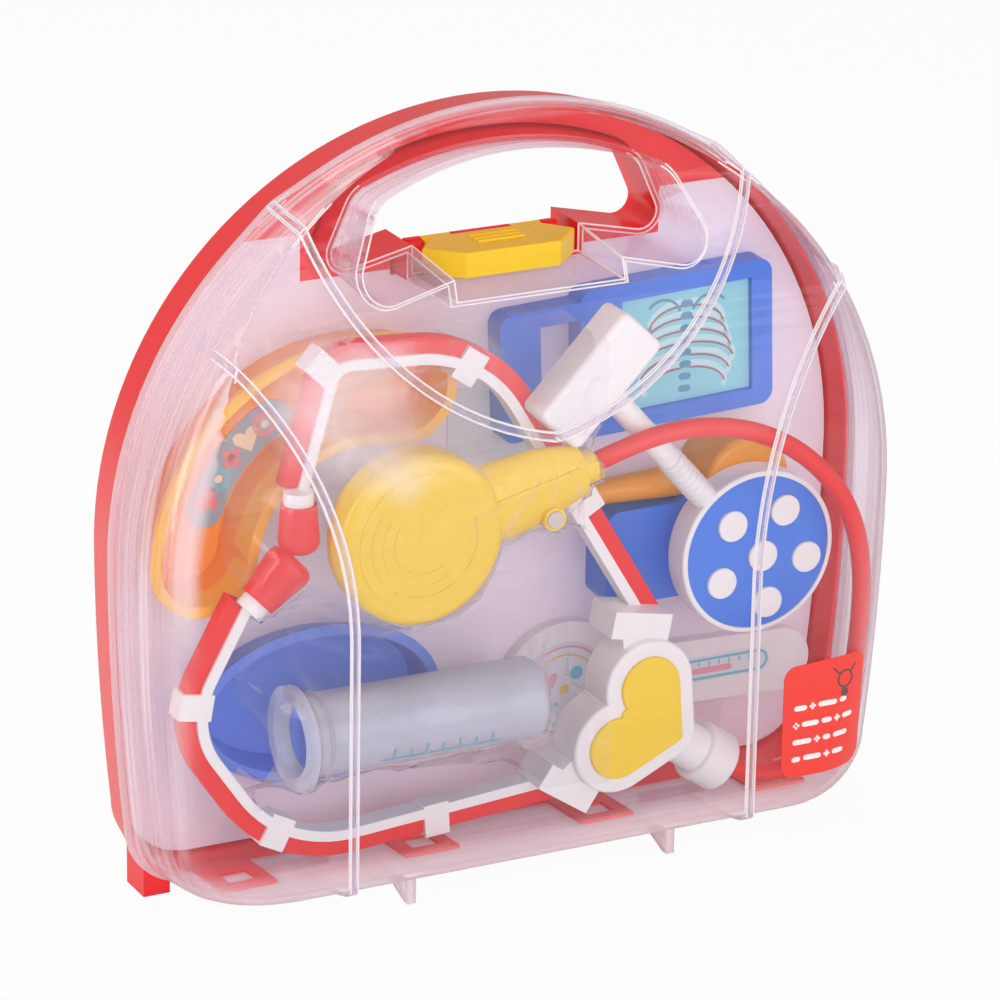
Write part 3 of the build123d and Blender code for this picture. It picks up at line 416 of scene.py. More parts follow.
def dress(node_name, slot, material, width_mm=None, body="case_back"):
    """Stands a smooth copy in for a CAD node, its edges rounded by a width or by the usual one."""
    obj = add_object(node_name + "_skin", merged_copy(node_name), body, slot, material)
    round_and_smooth(obj, sizes().edge_round if width_mm is None else width_mm)
    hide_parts(node_name)
    return obj


def mesh_from(work):
    """A smooth mesh with outward normals from a filled bmesh, which is freed."""
    bmesh.ops.recalc_face_normals(work, faces=work.faces)
    mesh = bpy.data.meshes.new("made")
    work.to_mesh(mesh)
    work.free()
    return mesh


def ribbon(points, width):
    """Rows across a path in the picture plane, each as its two edge points, in millimetres."""
    rows = []
    for index, (x, z) in enumerate(points):
        before = points[max(index - 1, 0)]
        after = points[min(index + 1, len(points) - 1)]
        run = math.hypot(after[0] - before[0], after[1] - before[1])
        side = (-(after[1] - before[1]) / run * width / 2, (after[0] - before[0]) / run * width / 2)
        rows.append(((x - side[0], z - side[1]), (x + side[0], z + side[1])))
    return rows


def turned(x, z, along, side, turn_deg):
    """A point given along and across a direction through x, z, in the picture plane."""
    turn = math.radians(turn_deg)
    cos, sin = math.cos(turn), math.sin(turn)
    return x + along * cos - side * sin, z + along * sin + side * cos


def bar(x, z, length, width, turn_deg=0.0):
    """Rows of a bar with rounded ends, longer than it is wide."""
    steps = max(2, round(length / 1.5))
    stations = [(-length / 2 + width / 2 * (1 - math.cos(a)), math.sin(a)) for a in (0.2, 0.8, 1.57)]
    inner = [(-length / 2 + width / 2 + (length - width) * k / steps, 1.0) for k in range(1, steps)]
    ends = [(-along, half) for along, half in reversed(stations)]
    rows = []
    for along, half in stations + inner + ends:
        reach = half * width / 2
        rows.append(tuple(turned(x, z, along, side, turn_deg) for side in (-reach, reach)))
    return rows


def dot(x, z, radius):
    """Rows of a filled disc."""
    rows = []
    for step in range(1, 12):
        turn = math.pi * step / 12
        half = radius * math.sin(turn)
        place = x - radius * math.cos(turn)
        rows.append(((place, z - half), (place, z + half)))
    return rows


def hoop(x, z, radius, width, start_deg=0.0, sweep_deg=360.0):
    """Rows of a ring or of a part of one."""
    steps = max(6, round(abs(sweep_deg) / 8))
    turns = [math.radians(start_deg + sweep_deg * k / steps) for k in range(steps + 1)]
    return ribbon([(x + radius * math.cos(t), z + radius * math.sin(t)) for t in turns], width)


def plus(x, z, reach, width, turn_deg=0.0):
    """Rows of a cross with two equal bars."""
    return [bar(x, z, 2 * reach, width, turn_deg), bar(x, z, 2 * reach, width, turn_deg + 90)]


def small_heart(x, z, size, turn_deg=0.0):
    """Rows of an upright heart, turned by an angle."""
    rows = []
    for step in range(-9, 10):
        across = step / 10
        top = 0.35 + 0.8 * math.sqrt(max(0.0, 0.25 - (abs(across) - 0.5) ** 2))
        low = -0.9 + 1.15 * abs(across)
        rows.append(tuple(turned(x, z, across * size, up * size, turn_deg) for up in (low, top)))
    return rows


def printed(name, surface, patches, material, lift_mm=0.12, slot="print", body="case_back"):
    """Thin raised print: patches of rows laid on the front of a surface."""
    mesh = surface.data
    places = [vertex.co for vertex in mesh.vertices]
    tree = BVHTree.FromPolygons(places, [face.vertices[:] for face in mesh.polygons])
    work = bmesh.new()
    for rows in patches:
        layers = []
        for depth in (-lift_mm * MM, PRINT_SUNK):
            layer = []
            for row in rows:
                pair = []
                for x, z in row:
                    hit = tree.ray_cast(Vector((x * MM, IN_FRONT, z * MM)), BACKWARD)[0]
                    if hit is None:
                        raise RuntimeError(name + " reaches past its surface at %.1f %.1f" % (x, z))
                    pair.append(work.verts.new((x * MM, hit.y + depth, z * MM)))
                layer.append(pair)
            layers.append(layer)
        front, back = layers
        for one, two in zip(range(len(rows) - 1), range(1, len(rows))):
            work.faces.new((front[one][0], front[two][0], front[two][1], front[one][1]))
            work.faces.new((back[one][1], back[two][1], back[two][0], back[one][0]))
            for edge in (0, 1):
                work.faces.new((front[one][edge], front[two][edge], back[two][edge], back[one][edge]))
        for end in (0, -1):
            work.faces.new((front[end][0], front[end][1], back[end][1], back[end][0]))
    return add_object(name, mesh_from(work), body, slot, material)


def tube(name, points, radius_mm, body, slot, material, closed=False):
    """A round bead along a path given in metres, as a mesh."""
    curve = bpy.data.curves.new(name, "CURVE")
    curve.dimensions = "3D"
    spline = curve.splines.new("POLY")
    spline.points.add(len(points) - 1)
    for point, place in zip(spline.points, points):
        point.co = (*place, 1)
    spline.use_cyclic_u = closed
    curve.bevel_depth = radius_mm * MM
    curve.bevel_resolution = 3
    curve.use_fill_caps = not closed
    obj = draft(name, curve)
    mesh = baked(obj)
    bpy.data.objects.remove(obj)
    bpy.data.curves.remove(curve)
    mesh.shade_smooth()
    return add_object(name, mesh, body, slot, material)


def ring_row_tree():
    """Geometry Nodes: a row of equal round beads along +Z, with its sizes as inputs."""
    tree = bpy.data.node_groups.new("ring_row", "GeometryNodeTree")
    kinds = {"Geometry": "Geometry", "Count": "Int", "Spacing": "Float", "Ring Radius": "Float"}
    kinds |= {"Bead Radius": "Float", "Material": "Material"}
    keys = {}
    for name, kind in kinds.items():
        socket = tree.interface.new_socket(name, in_out="INPUT", socket_type="NodeSocket" + kind)
        keys[name] = socket.identifier
    tree.interface.new_socket("Geometry", in_out="OUTPUT", socket_type="NodeSocketGeometry")
    given = put(tree, "NodeGroupInput").outputs
    step = put(tree, "ShaderNodeCombineXYZ", {"Z": given["Spacing"]})
    line = put(tree, "GeometryNodeMeshLine", {"Count": given["Count"], "Offset": step}, mode="OFFSET")
    outlines = {}
    for key, radius, points in (("Curve", "Ring Radius", 40), ("Profile Curve", "Bead Radius", 10)):
        circle = {"Radius": given[radius], "Resolution": points}
        outlines[key] = put(tree, "GeometryNodeCurvePrimitiveCircle", circle)
    bead = put(tree, "GeometryNodeCurveToMesh", outlines)
    row = put(tree, "GeometryNodeInstanceOnPoints", {"Points": line, "Instance": bead})
    smooth = put(tree, "GeometryNodeSetShadeSmooth", {"Geometry": row})
    real = put(tree, "GeometryNodeRealizeInstances", {"Geometry": smooth})
    coated = put(tree, "GeometryNodeSetMaterial", {"Geometry": real, "Material": given["Material"]})
    put(tree, "NodeGroupOutput", {"Geometry": coated})
    return tree, keys


def ring_row(name, start_mm, end_mm, body, slot, material, count, ring_mm, bead_mm):
    """Beads round an axis from start to end, in seam coordinates."""
    tree, keys = ring_row_tree()
    start, end = Vector(start_mm), Vector(end_mm)
    span = end - start
    obj = draft(name, bpy.data.meshes.new(name + "_seed"))
    row = obj.modifiers.new("Rings", "NODES")
    row.node_group = tree
    row[keys["Count"]] = count
    row[keys["Spacing"]] = span.length / (count - 1) * MM
    row[keys["Ring Radius"]] = ring_mm * MM
    row[keys["Bead Radius"]] = bead_mm * MM
    row[keys["Material"]] = material
    mesh = baked(obj)
    bpy.data.objects.remove(obj)
    mesh.materials.clear()
    turn = span.to_track_quat("Z", "Y").to_matrix().to_4x4()
    mesh.transform(Matrix.Translation((start.x * MM, start.y * MM + SEAM_Y, start.z * MM)) @ turn)
    return add_object(name, mesh, body, slot, material)


def distance_to_circle(through, x, z):
    """How far a point lies from the circle through three points."""
    (ax, az), (bx, bz), (cx, cz) = through
    twice = 2 * (ax * (bz - cz) + bx * (cz - az) + cx * (az - bz))
    a, b, c = ax**2 + az**2, bx**2 + bz**2, cx**2 + cz**2
    mid_x = (a * (bz - cz) + b * (cz - az) + c * (az - bz)) / twice
    mid_z = (a * (cx - bx) + b * (ax - cx) + c * (bx - ax)) / twice
    radius = math.hypot(ax - mid_x, az - mid_z)
    return abs(math.hypot(x - mid_x, z - mid_z) - radius)


# ---------------------------------------------------------------- pieces


class DOCTORCASE_OT_shells(bpy.types.Operator):
    """Dress the red back and the clear front"""

    bl_idname = "doctorcase.shells"
    bl_label = "Shells"

    def execute(self, context):
        # polished polypropylene: a full, even red with bright reflections along its edges
        red = toy_plastic("red_gloss_plastic", colours().red_shell, rough=0.25, glow=0.1)
        # clear polystyrene: almost unseen face on, milky where it turns away, with painted reflections:
        # white and rosy streaks on its side walls and a glare on its left shoulder
        clear = thin_clear("clear_shell_plastic", colours().clear_shell, streaks=0.55)
        # varnished paper: a flat, warm red with a soft sheen
        label = toy_plastic("label_paper", colours().label, rough=0.35)
        # plated steel, so little of it in sight that it reads as plain satin grey
        pin = toy_plastic("pin_steel", "#B9BBC0", rough=0.3)
        dress("rear_shell", "red_shell", red, 0.5)
        shell = dress("front_shell", "clear_shell", clear, 0, body="lid")
        self.paint_ridge_highlights(shell)
        self.rim(shell)
        self.edge_lines(shell)
        sticker = dress("front_label", "label", label, 0, body="lid")
        self.label_print(sticker)
        dress("hinge_pins", "pin", pin, 0.1)
        return {"FINISHED"}

    def paint_ridge_highlights(self, shell):
        """Gives the raised ridges of the clear shell a milky lilac plastic, a painted highlight for their
        lines.
        """
        # painted highlight: the raised ridges of the clear polystyrene as milky lilac-grey lines across
        # the front
        milky = thin_clear("ridge_painted_highlight", "#E9DEF2", haze=0.22, edge=0.95, rim_hex="#BFABD2")
        shell.data.materials.append(milky)
        middle = Vector((0, SEAM_Y, 0.12))
        for face in shell.data.polygons:
            outward = face.normal.dot(face.center - middle) > 0
            if outward and self.on_ridge(abs(face.center.x) / MM, face.center.z / MM):
                face.material_index = 1

    def on_ridge(self, x, z):
        """Whether a point, seen from the front, lies on one of the four ridges."""
        upper = ((82.0, 238.0), (52.0, 185.0), (0.0, 158.0))
        straight_x, bend_z, bend_radius, half_width = 74.0, 98.0, 142.6, 1.5
        if z < bend_z:
            return abs(x - straight_x) < half_width
        from_bend = abs(math.hypot(x - straight_x - bend_radius, z - bend_z) - bend_radius)
        lower_arc = from_bend < half_width and x < 113.5
        upper_arc = distance_to_circle(upper, x, z) < half_width and z > 157
        return lower_arc or upper_arc

    def rim(self, shell):
        """The rounded bead that closes the clear shell against the red back; its pale, rosy colour is
        painted highlight and painted reflection.
        """
        above_feet, step_length, forward = 5.5 * MM, 4 * MM, 1.4 * MM
        places = [vertex.co for vertex in shell.data.vertices]
        seam = [(p.x, p.z) for p in places if abs(p.y - SEAM_Y) < 0.5 * MM and p.z > above_feet]
        hull = [Vector(seam[index]) for index in convex_hull_2d(seam)]
        path = []
        for one, two in zip(hull, hull[1:] + hull[:1]):
            steps = max(1, round((two - one).length / step_length))
            path += [one.lerp(two, k / steps) for k in range(steps)]
        # painted highlight and reflection: the outer edge of the clear polystyrene, where it gathers
        # light, as a pale, rosy line round the case
        bead = thin_clear("rim_plastic", "#F6ECF4", haze=0.3, edge=0.7, rim_hex="#E2CFE0")
        points = [(place.x, SEAM_Y - forward, place.y) for place in path]
        tube("front_shell_rim", points, 1.1, "lid", "clear_shell", bead, closed=True)

    def edge_lines(self, shell):
        """Fine milky beads on the moulded edges of the handle, the latch pocket and the ridges: painted
        glints.
        """
        # painted glints: thin, milky white beads on the sharp moulded edges of the clear polystyrene
        glint = thin_clear("painted_edge_glint", "#FFFAFC", haze=0.75, edge=0.9, rim_hex="#F4E6EF")
        handle_reach, handle_low, handle_high, foot = 84, 160, 236, 14
        sharp = math.radians(32)
        radius = sizes().edge_bead * MM
        work = bmesh.new()
        work.from_mesh(shell.data)
        beads = bmesh.new()
        for edge in work.edges:
            start, end = (vertex.co for vertex in edge.verts)
            middle = (start + end) / 2
            x, z = abs(middle.x) / MM, middle.z / MM
            at_handle = x < handle_reach and handle_low < z < handle_high
            wanted = at_handle or z > foot and self.on_ridge(x, z)
            if wanted and len(edge.link_faces) == 2 and edge.calc_face_angle() > sharp:
                turn = (end - start).to_track_quat("Z", "Y").to_matrix().to_4x4()
                bmesh.ops.create_cone(
                    beads,
                    cap_ends=True,
                    segments=6,
                    radius1=radius,
                    radius2=radius,
                    depth=(end - start).length,
                    matrix=Matrix.Translation(middle) @ turn,
                )
        work.free()
        add_object("front_shell_edge_lines", mesh_from(beads), "lid", "clear_shell", glint)

    def label_print(self, sticker):
        """Rows of plain white marks on the label, and a grey loop in its corner."""
        # screen print: flat, crisp marks with little gloss
        white = toy_plastic("label_white_print", "#FFF6F4", rough=0.45)
        grey = toy_plastic("label_grey_print", "#6E4A50", rough=0.45)
        rows = (
            (90.2, 48.6, (5.0, 2.2, 7.4, 3.0)),
            (90.1, 42.4, (2.2, 6.6, 4.0, 2.2, 4.6)),
            (90.0, 36.2, (7.4, 2.2, 3.0, 6.2)),
            (89.9, 30.0, (3.4, 7.0, 2.2, 4.8)),
        )
        patches = []
        for x, z, lengths in rows:
            for length in lengths:
                centre = x + length / 2
                rise = z + 0.026 * (centre - 90)
                if length < 2.5:
                    patches += plus(centre, rise, 1.3, 0.9)
                else:
                    patches.append(bar(centre, rise, length, 1.9))
                x += length + 1.1
        printed("label_marks", sticker, patches, white, body="lid")
        loop = [hoop(110.2, 56.5, 3.0, 0.7), ribbon([(107.9, 58.4), (105.0, 61.2)], 0.7)]
        loop.append(ribbon([(112.5, 58.4), (114.6, 61.0)], 0.7))
        loop.append(dot(110.2, 51.6, 1.6))
        printed("label_loop", sticker, loop, grey, body="lid")


class DOCTORCASE_OT_latch(bpy.types.Operator):
    """Dress the latch and its pin"""

    bl_idname = "doctorcase.latch"
    bl_label = "Latch"

    def execute(self, context):
        # moulded polypropylene: a warm, satin yellow with soft shadows
        yellow = toy_plastic("latch_yellow_plastic", colours().latch, rough=0.3, glow=0.1)
        pin = toy_plastic("latch_pin_steel", "#B9BBC0", rough=0.3)
        dress("latch", "yellow_latch", yellow, body="latch")
        dress("latch_pin", "pin", pin, 0.1)
        return {"FINISHED"}


class DOCTORCASE_OT_back_layer(bpy.types.Operator):
    """Dress the card and the toys that lie on it"""

    bl_idname = "doctorcase.back_layer"
    bl_label = "Back layer"

    def execute(self, context):
        paint = colours()
        # coated card: an even, faintly lilac white without a highlight
        card = toy_plastic("card_print", paint.card, rough=0.6)
        # moulded polypropylene in solid colours: satin, with broad, soft highlights
        orange = toy_plastic("orange_plastic", paint.orange, rough=0.3)
        blue = toy_plastic("dish_blue_plastic", paint.dish_blue, rough=0.3, glow=0.1)
        toy_blue = toy_plastic("toy_blue_plastic", paint.toy_blue, rough=0.3)
        # the same in thicker pieces, which light enters: glowing edges, soft shadows
        amber = toy_plastic("amber_plastic", paint.amber, rough=0.3, glow=0.2)
        pale = toy_plastic("pale_plastic", "#EEEAEE", rough=0.3, glow=0.2)
        # printed stickers and pictures: flat colour with a low sheen
        paper = toy_plastic("printed_paper", "#DDE4EA", rough=0.5)
        contour = toy_plastic("sticker_contour_print", "#9FB4C4", rough=0.45)
        picture = toy_plastic("picture_print", "#8FD6E4", rough=0.3)
        self.card(card)
        self.kidney(orange)
        sticker = dress("kidney_sticker", "print", contour, 0)
        hub = Matrix.Translation((-0.052, 0, 0.113))
        sticker.data.transform(hub @ Matrix.Rotation(math.radians(-15), 4, "Y") @ hub.inverted())
        self.kidney_print(sticker)
        dress("oval_dish", "blue_plastic", blue)
        dress("viewer_frame", "blue_plastic", toy_blue, 1.0)
        screen = dress("viewer_picture", "print", picture, 0)
        self.viewer_print(screen)
        dress("chart_card", "print", paper, 0)
        dress("otoscope_handle", "blue_plastic", toy_blue, 1.0)
        dress("otoscope_head", "amber_plastic", amber, 0.5)
        dress("otoscope_cone", "amber_plastic", amber, 0.3)
        dress("thermometer_body", "pale_plastic", pale, 0.8)
        dial = dress("thermometer_dial", "print", paper, 0)
        strip = dress("thermometer_strip", "print", paper, 0)
        self.thermometer_print(dial, strip)
        return {"FINISHED"}

    def card(self, material):
        """The white card, with the red housing of the handle showing round the grip."""
        # the red of the back half, seen round the grip
        red = toy_plastic("housing_red_plastic", colours().red_shell, rough=0.25)
        card = dress("card_insert", "card", material, 0)
        card.data.materials.append(red)
        work = bmesh.new()
        work.from_mesh(card.data)
        half_width, low, high = 0.066, 0.203, 0.219
        for place in ((half_width, 0, 0), (-half_width, 0, 0), (0, 0, low), (0, 0, high)):
            facing = (1, 0, 0) if place[0] else (0, 0, 1)
            every = work.verts[:] + work.edges[:] + work.faces[:]
            bmesh.ops.bisect_plane(work, geom=every, plane_co=place, plane_no=facing, dist=0.01 * MM)
        for face in work.faces:
            middle = face.calc_center_median()
            if middle.z > high or abs(middle.x) < half_width and middle.z > low:
                face.material_index = 1
        work.to_mesh(card.data)
        work.free()

    def kidney(self, material):
        """The dish: a deep orange floor and a lighter, yellower rim, which is a painted glow."""
        # painted glow: the rim of the dish is a yellower orange, for the light that comes through its thin
        # wall
        pale = toy_plastic("orange_rim_painted_glow", "#FFC03C", rough=0.25)
        dish = dress("kidney_dish", "orange_plastic", material)
        dish.data.materials.append(pale)
        rim_depth = 9 * MM
        front = min(vertex.co.y for vertex in dish.data.vertices)
        for face in dish.data.polygons:
            if face.center.y < front + rim_depth:
                face.material_index = 1

    def kidney_print(self, sticker):
        """Pastel shapes in a row along the curved sticker of the dish."""
        inks = {
            "rose": toy_plastic("rose_print", "#F08A8C", rough=0.45),
            "aqua": toy_plastic("aqua_print", "#7FC9D6", rough=0.45),
            "cream": toy_plastic("cream_print", "#FBEFC8", rough=0.45),
        }
        shapes = {ink: [] for ink in inks}
        hub_x, hub_z, radius = -52, 113, 51.5
        for step, ink in enumerate(("rose", "cream", "rose", "aqua", "rose")):
            turn = math.radians(122 + 8.8 * step)
            x = hub_x + radius * math.cos(turn)
            z = hub_z + radius * math.sin(turn)
            if step % 3 == 0:
                shapes[ink].append(hoop(x, z, 3.4, 2.0))
                shapes["cream"].append(dot(x, z, 1.4))
            elif step % 3 == 1:
                shapes[ink].append(small_heart(x, z, 5.0, math.degrees(turn) - 110))
            else:
                shapes[ink] += plus(x, z, 4.2, 2.8, math.degrees(turn))
        for ink, patches in shapes.items():
            printed("kidney_print_" + ink, sticker, patches, inks[ink])

    def viewer_print(self, screen):
        """A simple rib cage in thin lines on the viewer's picture."""
        # inks of the picture: light bones with warm outlines on a blue ground
        bone = toy_plastic("viewer_bone_print", "#C2E6EC", rough=0.35)
        line = toy_plastic("viewer_line_print", "#B5606C", rough=0.35)
        shade = toy_plastic("viewer_shade_print", "#5E98B8", rough=0.35)
        middle = 73.6
        ribs, lines, shades = [], [], []
        for step in range(6):
            low = 153.5 + 4.4 * step
            half = 17 - 1.5 * abs(step - 2)
            for side in (-1, 1):
                arc = []
                for part in range(9):
                    sweep = part / 8 * 1.9
                    away = 1.6 + half * math.sin(sweep)
                    arc.append((middle + side * away, low + 7.5 * math.cos(sweep) - 3))
                ribs.append(ribbon(arc, 1.9))
                lines.append(ribbon([(x, z - 1.7) for x, z in arc[:7]], 0.6))
        for step in range(8):
            shades.append(bar(middle, 149 + 4.3 * step, 4.6, 2.4))
        shades.append(hoop(middle - 9, 174.4, 7, 0.9, 20, 120))
        shades.append(hoop(middle + 9, 174.4, 7, 0.9, 40, 120))
        printed("viewer_ribs", screen, ribs, bone, lift_mm=0.1)
        printed("viewer_lines", screen, lines, line, lift_mm=0.14)
        printed("viewer_spine", screen, shades, shade, lift_mm=0.18)

    def thermometer_print(self, dial, strip):
        """Pastel marks round the dial, and an outlined scale with a pink filling on the strip."""
        # pastel screen print: soft marks with little gloss
        rose = toy_plastic("dial_rose_print", "#EBA0B4", rough=0.45)
        aqua = toy_plastic("dial_aqua_print", "#74C6DC", rough=0.45)
        amber = toy_plastic("dial_amber_print", "#F0C46A", rough=0.45)
        x, z = 31.5, 45.5
        marks = [hoop(x, z, 15.6, 0.8)]
        marks += [small_heart(x - 5.5, z + 3.5, 3.4, 15), small_heart(x + 6.0, z - 5.0, 2.6, -20)]
        blue_marks = [hoop(x, z, 12.6, 0.6, 200, 140), dot(x + 4.6, z + 5.4, 2.4)]
        blue_marks += plus(x - 4.8, z - 5.6, 2.6, 1.6, 20)
        amber_marks = [dot(x, z, 1.8), hoop(x, z, 12.6, 0.6, 20, 140)]
        printed("dial_rose", dial, marks, rose)
        printed("dial_aqua", dial, blue_marks, aqua, lift_mm=0.14)
        printed("dial_amber", dial, amber_marks, amber, lift_mm=0.16)
        mid_x, mid_z = 92.0, 43.75
        reach, radius, line = 15.5, 3.4, 0.9
        outline = []
        for z in (mid_z - radius, mid_z + radius):
            outline.append(ribbon([(mid_x - reach, z), (mid_x + reach, z)], line))
        outline.append(hoop(mid_x - reach, mid_z, radius, line, 90, 180))
        outline.append(hoop(mid_x + reach, mid_z, radius, line, -90, 180))
        outline += [bar(mid_x - 12 + 4 * step, mid_z + 1.8, 1.8, 0.6, 90) for step in range(7)]
        printed("strip_outline", strip, outline, aqua)
        printed("strip_filling", strip, [bar(mid_x - 5, mid_z - 0.6, 20, 2.2)], rose)


class DOCTORCASE_OT_syringe(bpy.types.Operator):
    """Dress the syringe"""

    bl_idname = "doctorcase.syringe"
    bl_label = "Syringe"

    def execute(self, context):
        paint = colours()
        # clear polystyrene moulded as a tube: cool and brighter along its edges; its strong milky haze is
        # partly its own frosting and partly painted reflection
        tints = {"rim_hex": "#D9DDF2", "cloud_hex": "#EDF1FF"}
        clear = thin_clear("syringe_clear_plastic", "#FAFBFF", haze=0.4, edge=0.8, **tints)
        # moulded polypropylene: satin, and the white lets light in
        white = toy_plastic("syringe_cap_plastic", paint.white, rough=0.3, glow=0.3)
        blue = toy_plastic("plunger_blue_plastic", paint.toy_blue, rough=0.3)
        barrel = dress("syringe_barrel", "clear_plastic", clear, 0.3)
        self.barrel_print(barrel)
        dress("syringe_cap", "white_plastic", white, 0.3)
        dress("plunger_rod", "blue_plastic", blue, 0.3, body="plunger")
        # painted light: the seal and rings behind the hazy barrel are a washed-out blue, lightened for the
        # haze over them
        pale = toy_plastic("plunger_painted_haze_blue", "#A9C2F2", rough=0.3)
        dress("plunger_seal", "blue_plastic", pale, 0.3, body="plunger")
        axis_y, axis_z = -18.4, 55.9
        start, end = (-72.5, axis_y, axis_z), (-48.5, axis_y, axis_z)
        rings = {"count": 4, "ring_mm": 5.4, "bead_mm": 0.9}
        ring_row("plunger_rings", start, end, "plunger", "blue_plastic", pale, **rings)
        # the rounded edges of the flange: clear beads that turn milky at their sides
        rim = thin_clear("syringe_rim_plastic", "#F2F4FA", haze=0.25, edge=0.6)
        start, end = (-77.4, axis_y, axis_z), (-73.0, axis_y, axis_z)
        edges = {"count": 2, "ring_mm": 14.2, "bead_mm": 0.7}
        ring_row("syringe_flange_beads", start, end, "case_back", "clear_plastic", rim, **edges)
        return {"FINISHED"}

    def barrel_print(self, barrel):
        """A thin blue line with short ticks along the lower half of the barrel."""
        # screen print: a thin, flat line
        ink = toy_plastic("barrel_print", "#57BEDA", rough=0.4)
        patches = [bar(-32.0, 47.6, 44.0, 0.9)]
        patches += [bar(-50.0 + 6.0 * step, 49.8, 3.0 if step % 2 else 4.6, 0.7, 90) for step in range(7)]
        printed("syringe_scale", barrel, patches, ink)


class DOCTORCASE_OT_stethoscope(bpy.types.Operator):
    """Dress the stethoscope and its hose"""

    bl_idname = "doctorcase.stethoscope"
    bl_label = "Stethoscope"

    def execute(self, context):
        paint = colours()
        # moulded polypropylene: satin, with shadows that stay light
        white = toy_plastic("stethoscope_white_plastic", paint.white, rough=0.32, glow=0.15)
        yellow = toy_plastic("toy_yellow_plastic", paint.toy_yellow, rough=0.3, glow=0.15)
        # soft vinyl: a duller sheen, spread along the hose
        red = toy_plastic("soft_red_rubber", paint.red_soft, rough=0.42, glow=0.1)
        # polished plastic: a small, sharp highlight
        pin = toy_plastic("screw_plastic", "#D8CFC8", rough=0.2)
        # a domed clear membrane: it magnifies what lies under it
        clear = lens_plastic("diaphragm_plastic", "#FAFBFD")
        for name in ("heart_body", "hose_spigot", "upper_arm", "lower_arm"):
            dress(name, "white_plastic", white, 0.6)
        dress("heart_badge", "yellow_plastic", yellow)
        chest = dress("chest_piece", "yellow_plastic", yellow)
        self.chest_marks(chest, yellow)
        for name in ("upper_arm_strip", "lower_arm_strip", "ear_tip_upper", "ear_tip_lower"):
            dress(name, "red_soft", red)
        self.press_ear_tips()
        self.hose(red)
        dress("chest_screw", "pin", pin, 0.1)
        dress("chest_diaphragm", "clear_plastic", clear, 0)
        return {"FINISHED"}

    def press_ear_tips(self):
        """Lengthens both soft ear tips until they press against each other."""
        for name, start, end, longer in (
            ("ear_tip_upper_skin", (-79.9, 138.3), (-79.8, 125.4), 1.28),
            ("ear_tip_lower_skin", (-94.6, 106.9), (-82.5, 118.3), 1.12),
        ):
            foot = Vector((start[0] * MM, 0, start[1] * MM))
            axis = Vector((end[0] - start[0], 0, end[1] - start[1])).normalized()
            for vertex in bpy.data.objects[name].data.vertices:
                reach = (vertex.co - foot).dot(axis)
                vertex.co += axis * reach * (longer - 1)

    def chest_marks(self, chest, yellow):
        """Raised arcs on the round face and the crease that runs along the neck."""
        x, z = -42.5, 124.9
        marks = [hoop(x, z, radius, 0.8, start, 70) for radius in (11, 15, 19) for start in (145, 235)]
        marks.append(hoop(x, z, 19, 0.8, -40, 60))
        turn = math.radians(12.5)
        start_x, start_z = x - 3 * math.sin(turn), z + 3
        places = []
        for reach in range(28, 61, 2):
            places.append((start_x + reach * math.cos(turn), start_z + reach * math.sin(turn)))
        crease = [ribbon(places, 1.4)]
        printed("chest_arcs", chest, marks, yellow, lift_mm=0.25, slot="yellow_plastic")
        printed("chest_crease", chest, crease, yellow, lift_mm=0.5, slot="yellow_plastic")

    def hose(self, material):
        """The hose, a round cord along its route."""
        curve = bpy.data.curves.new("stethoscope_hose", "CURVE")
        curve.dimensions = "3D"
        spline = curve.splines.new("NURBS")
        spline.points.add(len(HOSE_ROUTE) - 1)
        for point, (x, y, z) in zip(spline.points, HOSE_ROUTE):
            point.co = (x, y + SEAM_Y, z, 1)
        spline.order_u = 3
        spline.use_endpoint_u = True
        spline.resolution_u = 16
        curve.bevel_depth = HOSE_DIAMETER / 2
        curve.bevel_resolution = 6
        obj = add_object("stethoscope_hose", curve, "case_back", "red_soft", material)
        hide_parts("hose")


class DOCTORCASE_OT_hammer(bpy.types.Operator):
    """Dress the reflex hammer"""

    bl_idname = "doctorcase.hammer"
    bl_label = "Hammer"

    def execute(self, context):
        paint = colours()
        # moulded polypropylene: satin, with shadows that stay light
        white = toy_plastic("hammer_white_plastic", paint.white, rough=0.32, glow=0.15)
        blue = toy_plastic("disc_blue_plastic", "#4080EC", rough=0.3)
        for name in ("hammer_head", "hammer_rod", "disc_body", "disc_studs"):
            dress(name, "white_plastic", white, 0.5)
        dress("disc_face", "blue_plastic", blue, 0.2)
        head, disc = Vector((23.4, -25.0, 169.4)), Vector((89.7, -18.0, 96.2))
        start, end = head.lerp(disc, 0.49), head.lerp(disc, 0.68)
        ribs = {"count": 8, "ring_mm": 3.9, "bead_mm": 0.9}
        ring_row("hammer_rod_ribs", start, end, "case_back", "white_plastic", white, **ribs)
        return {"FINISHED"}


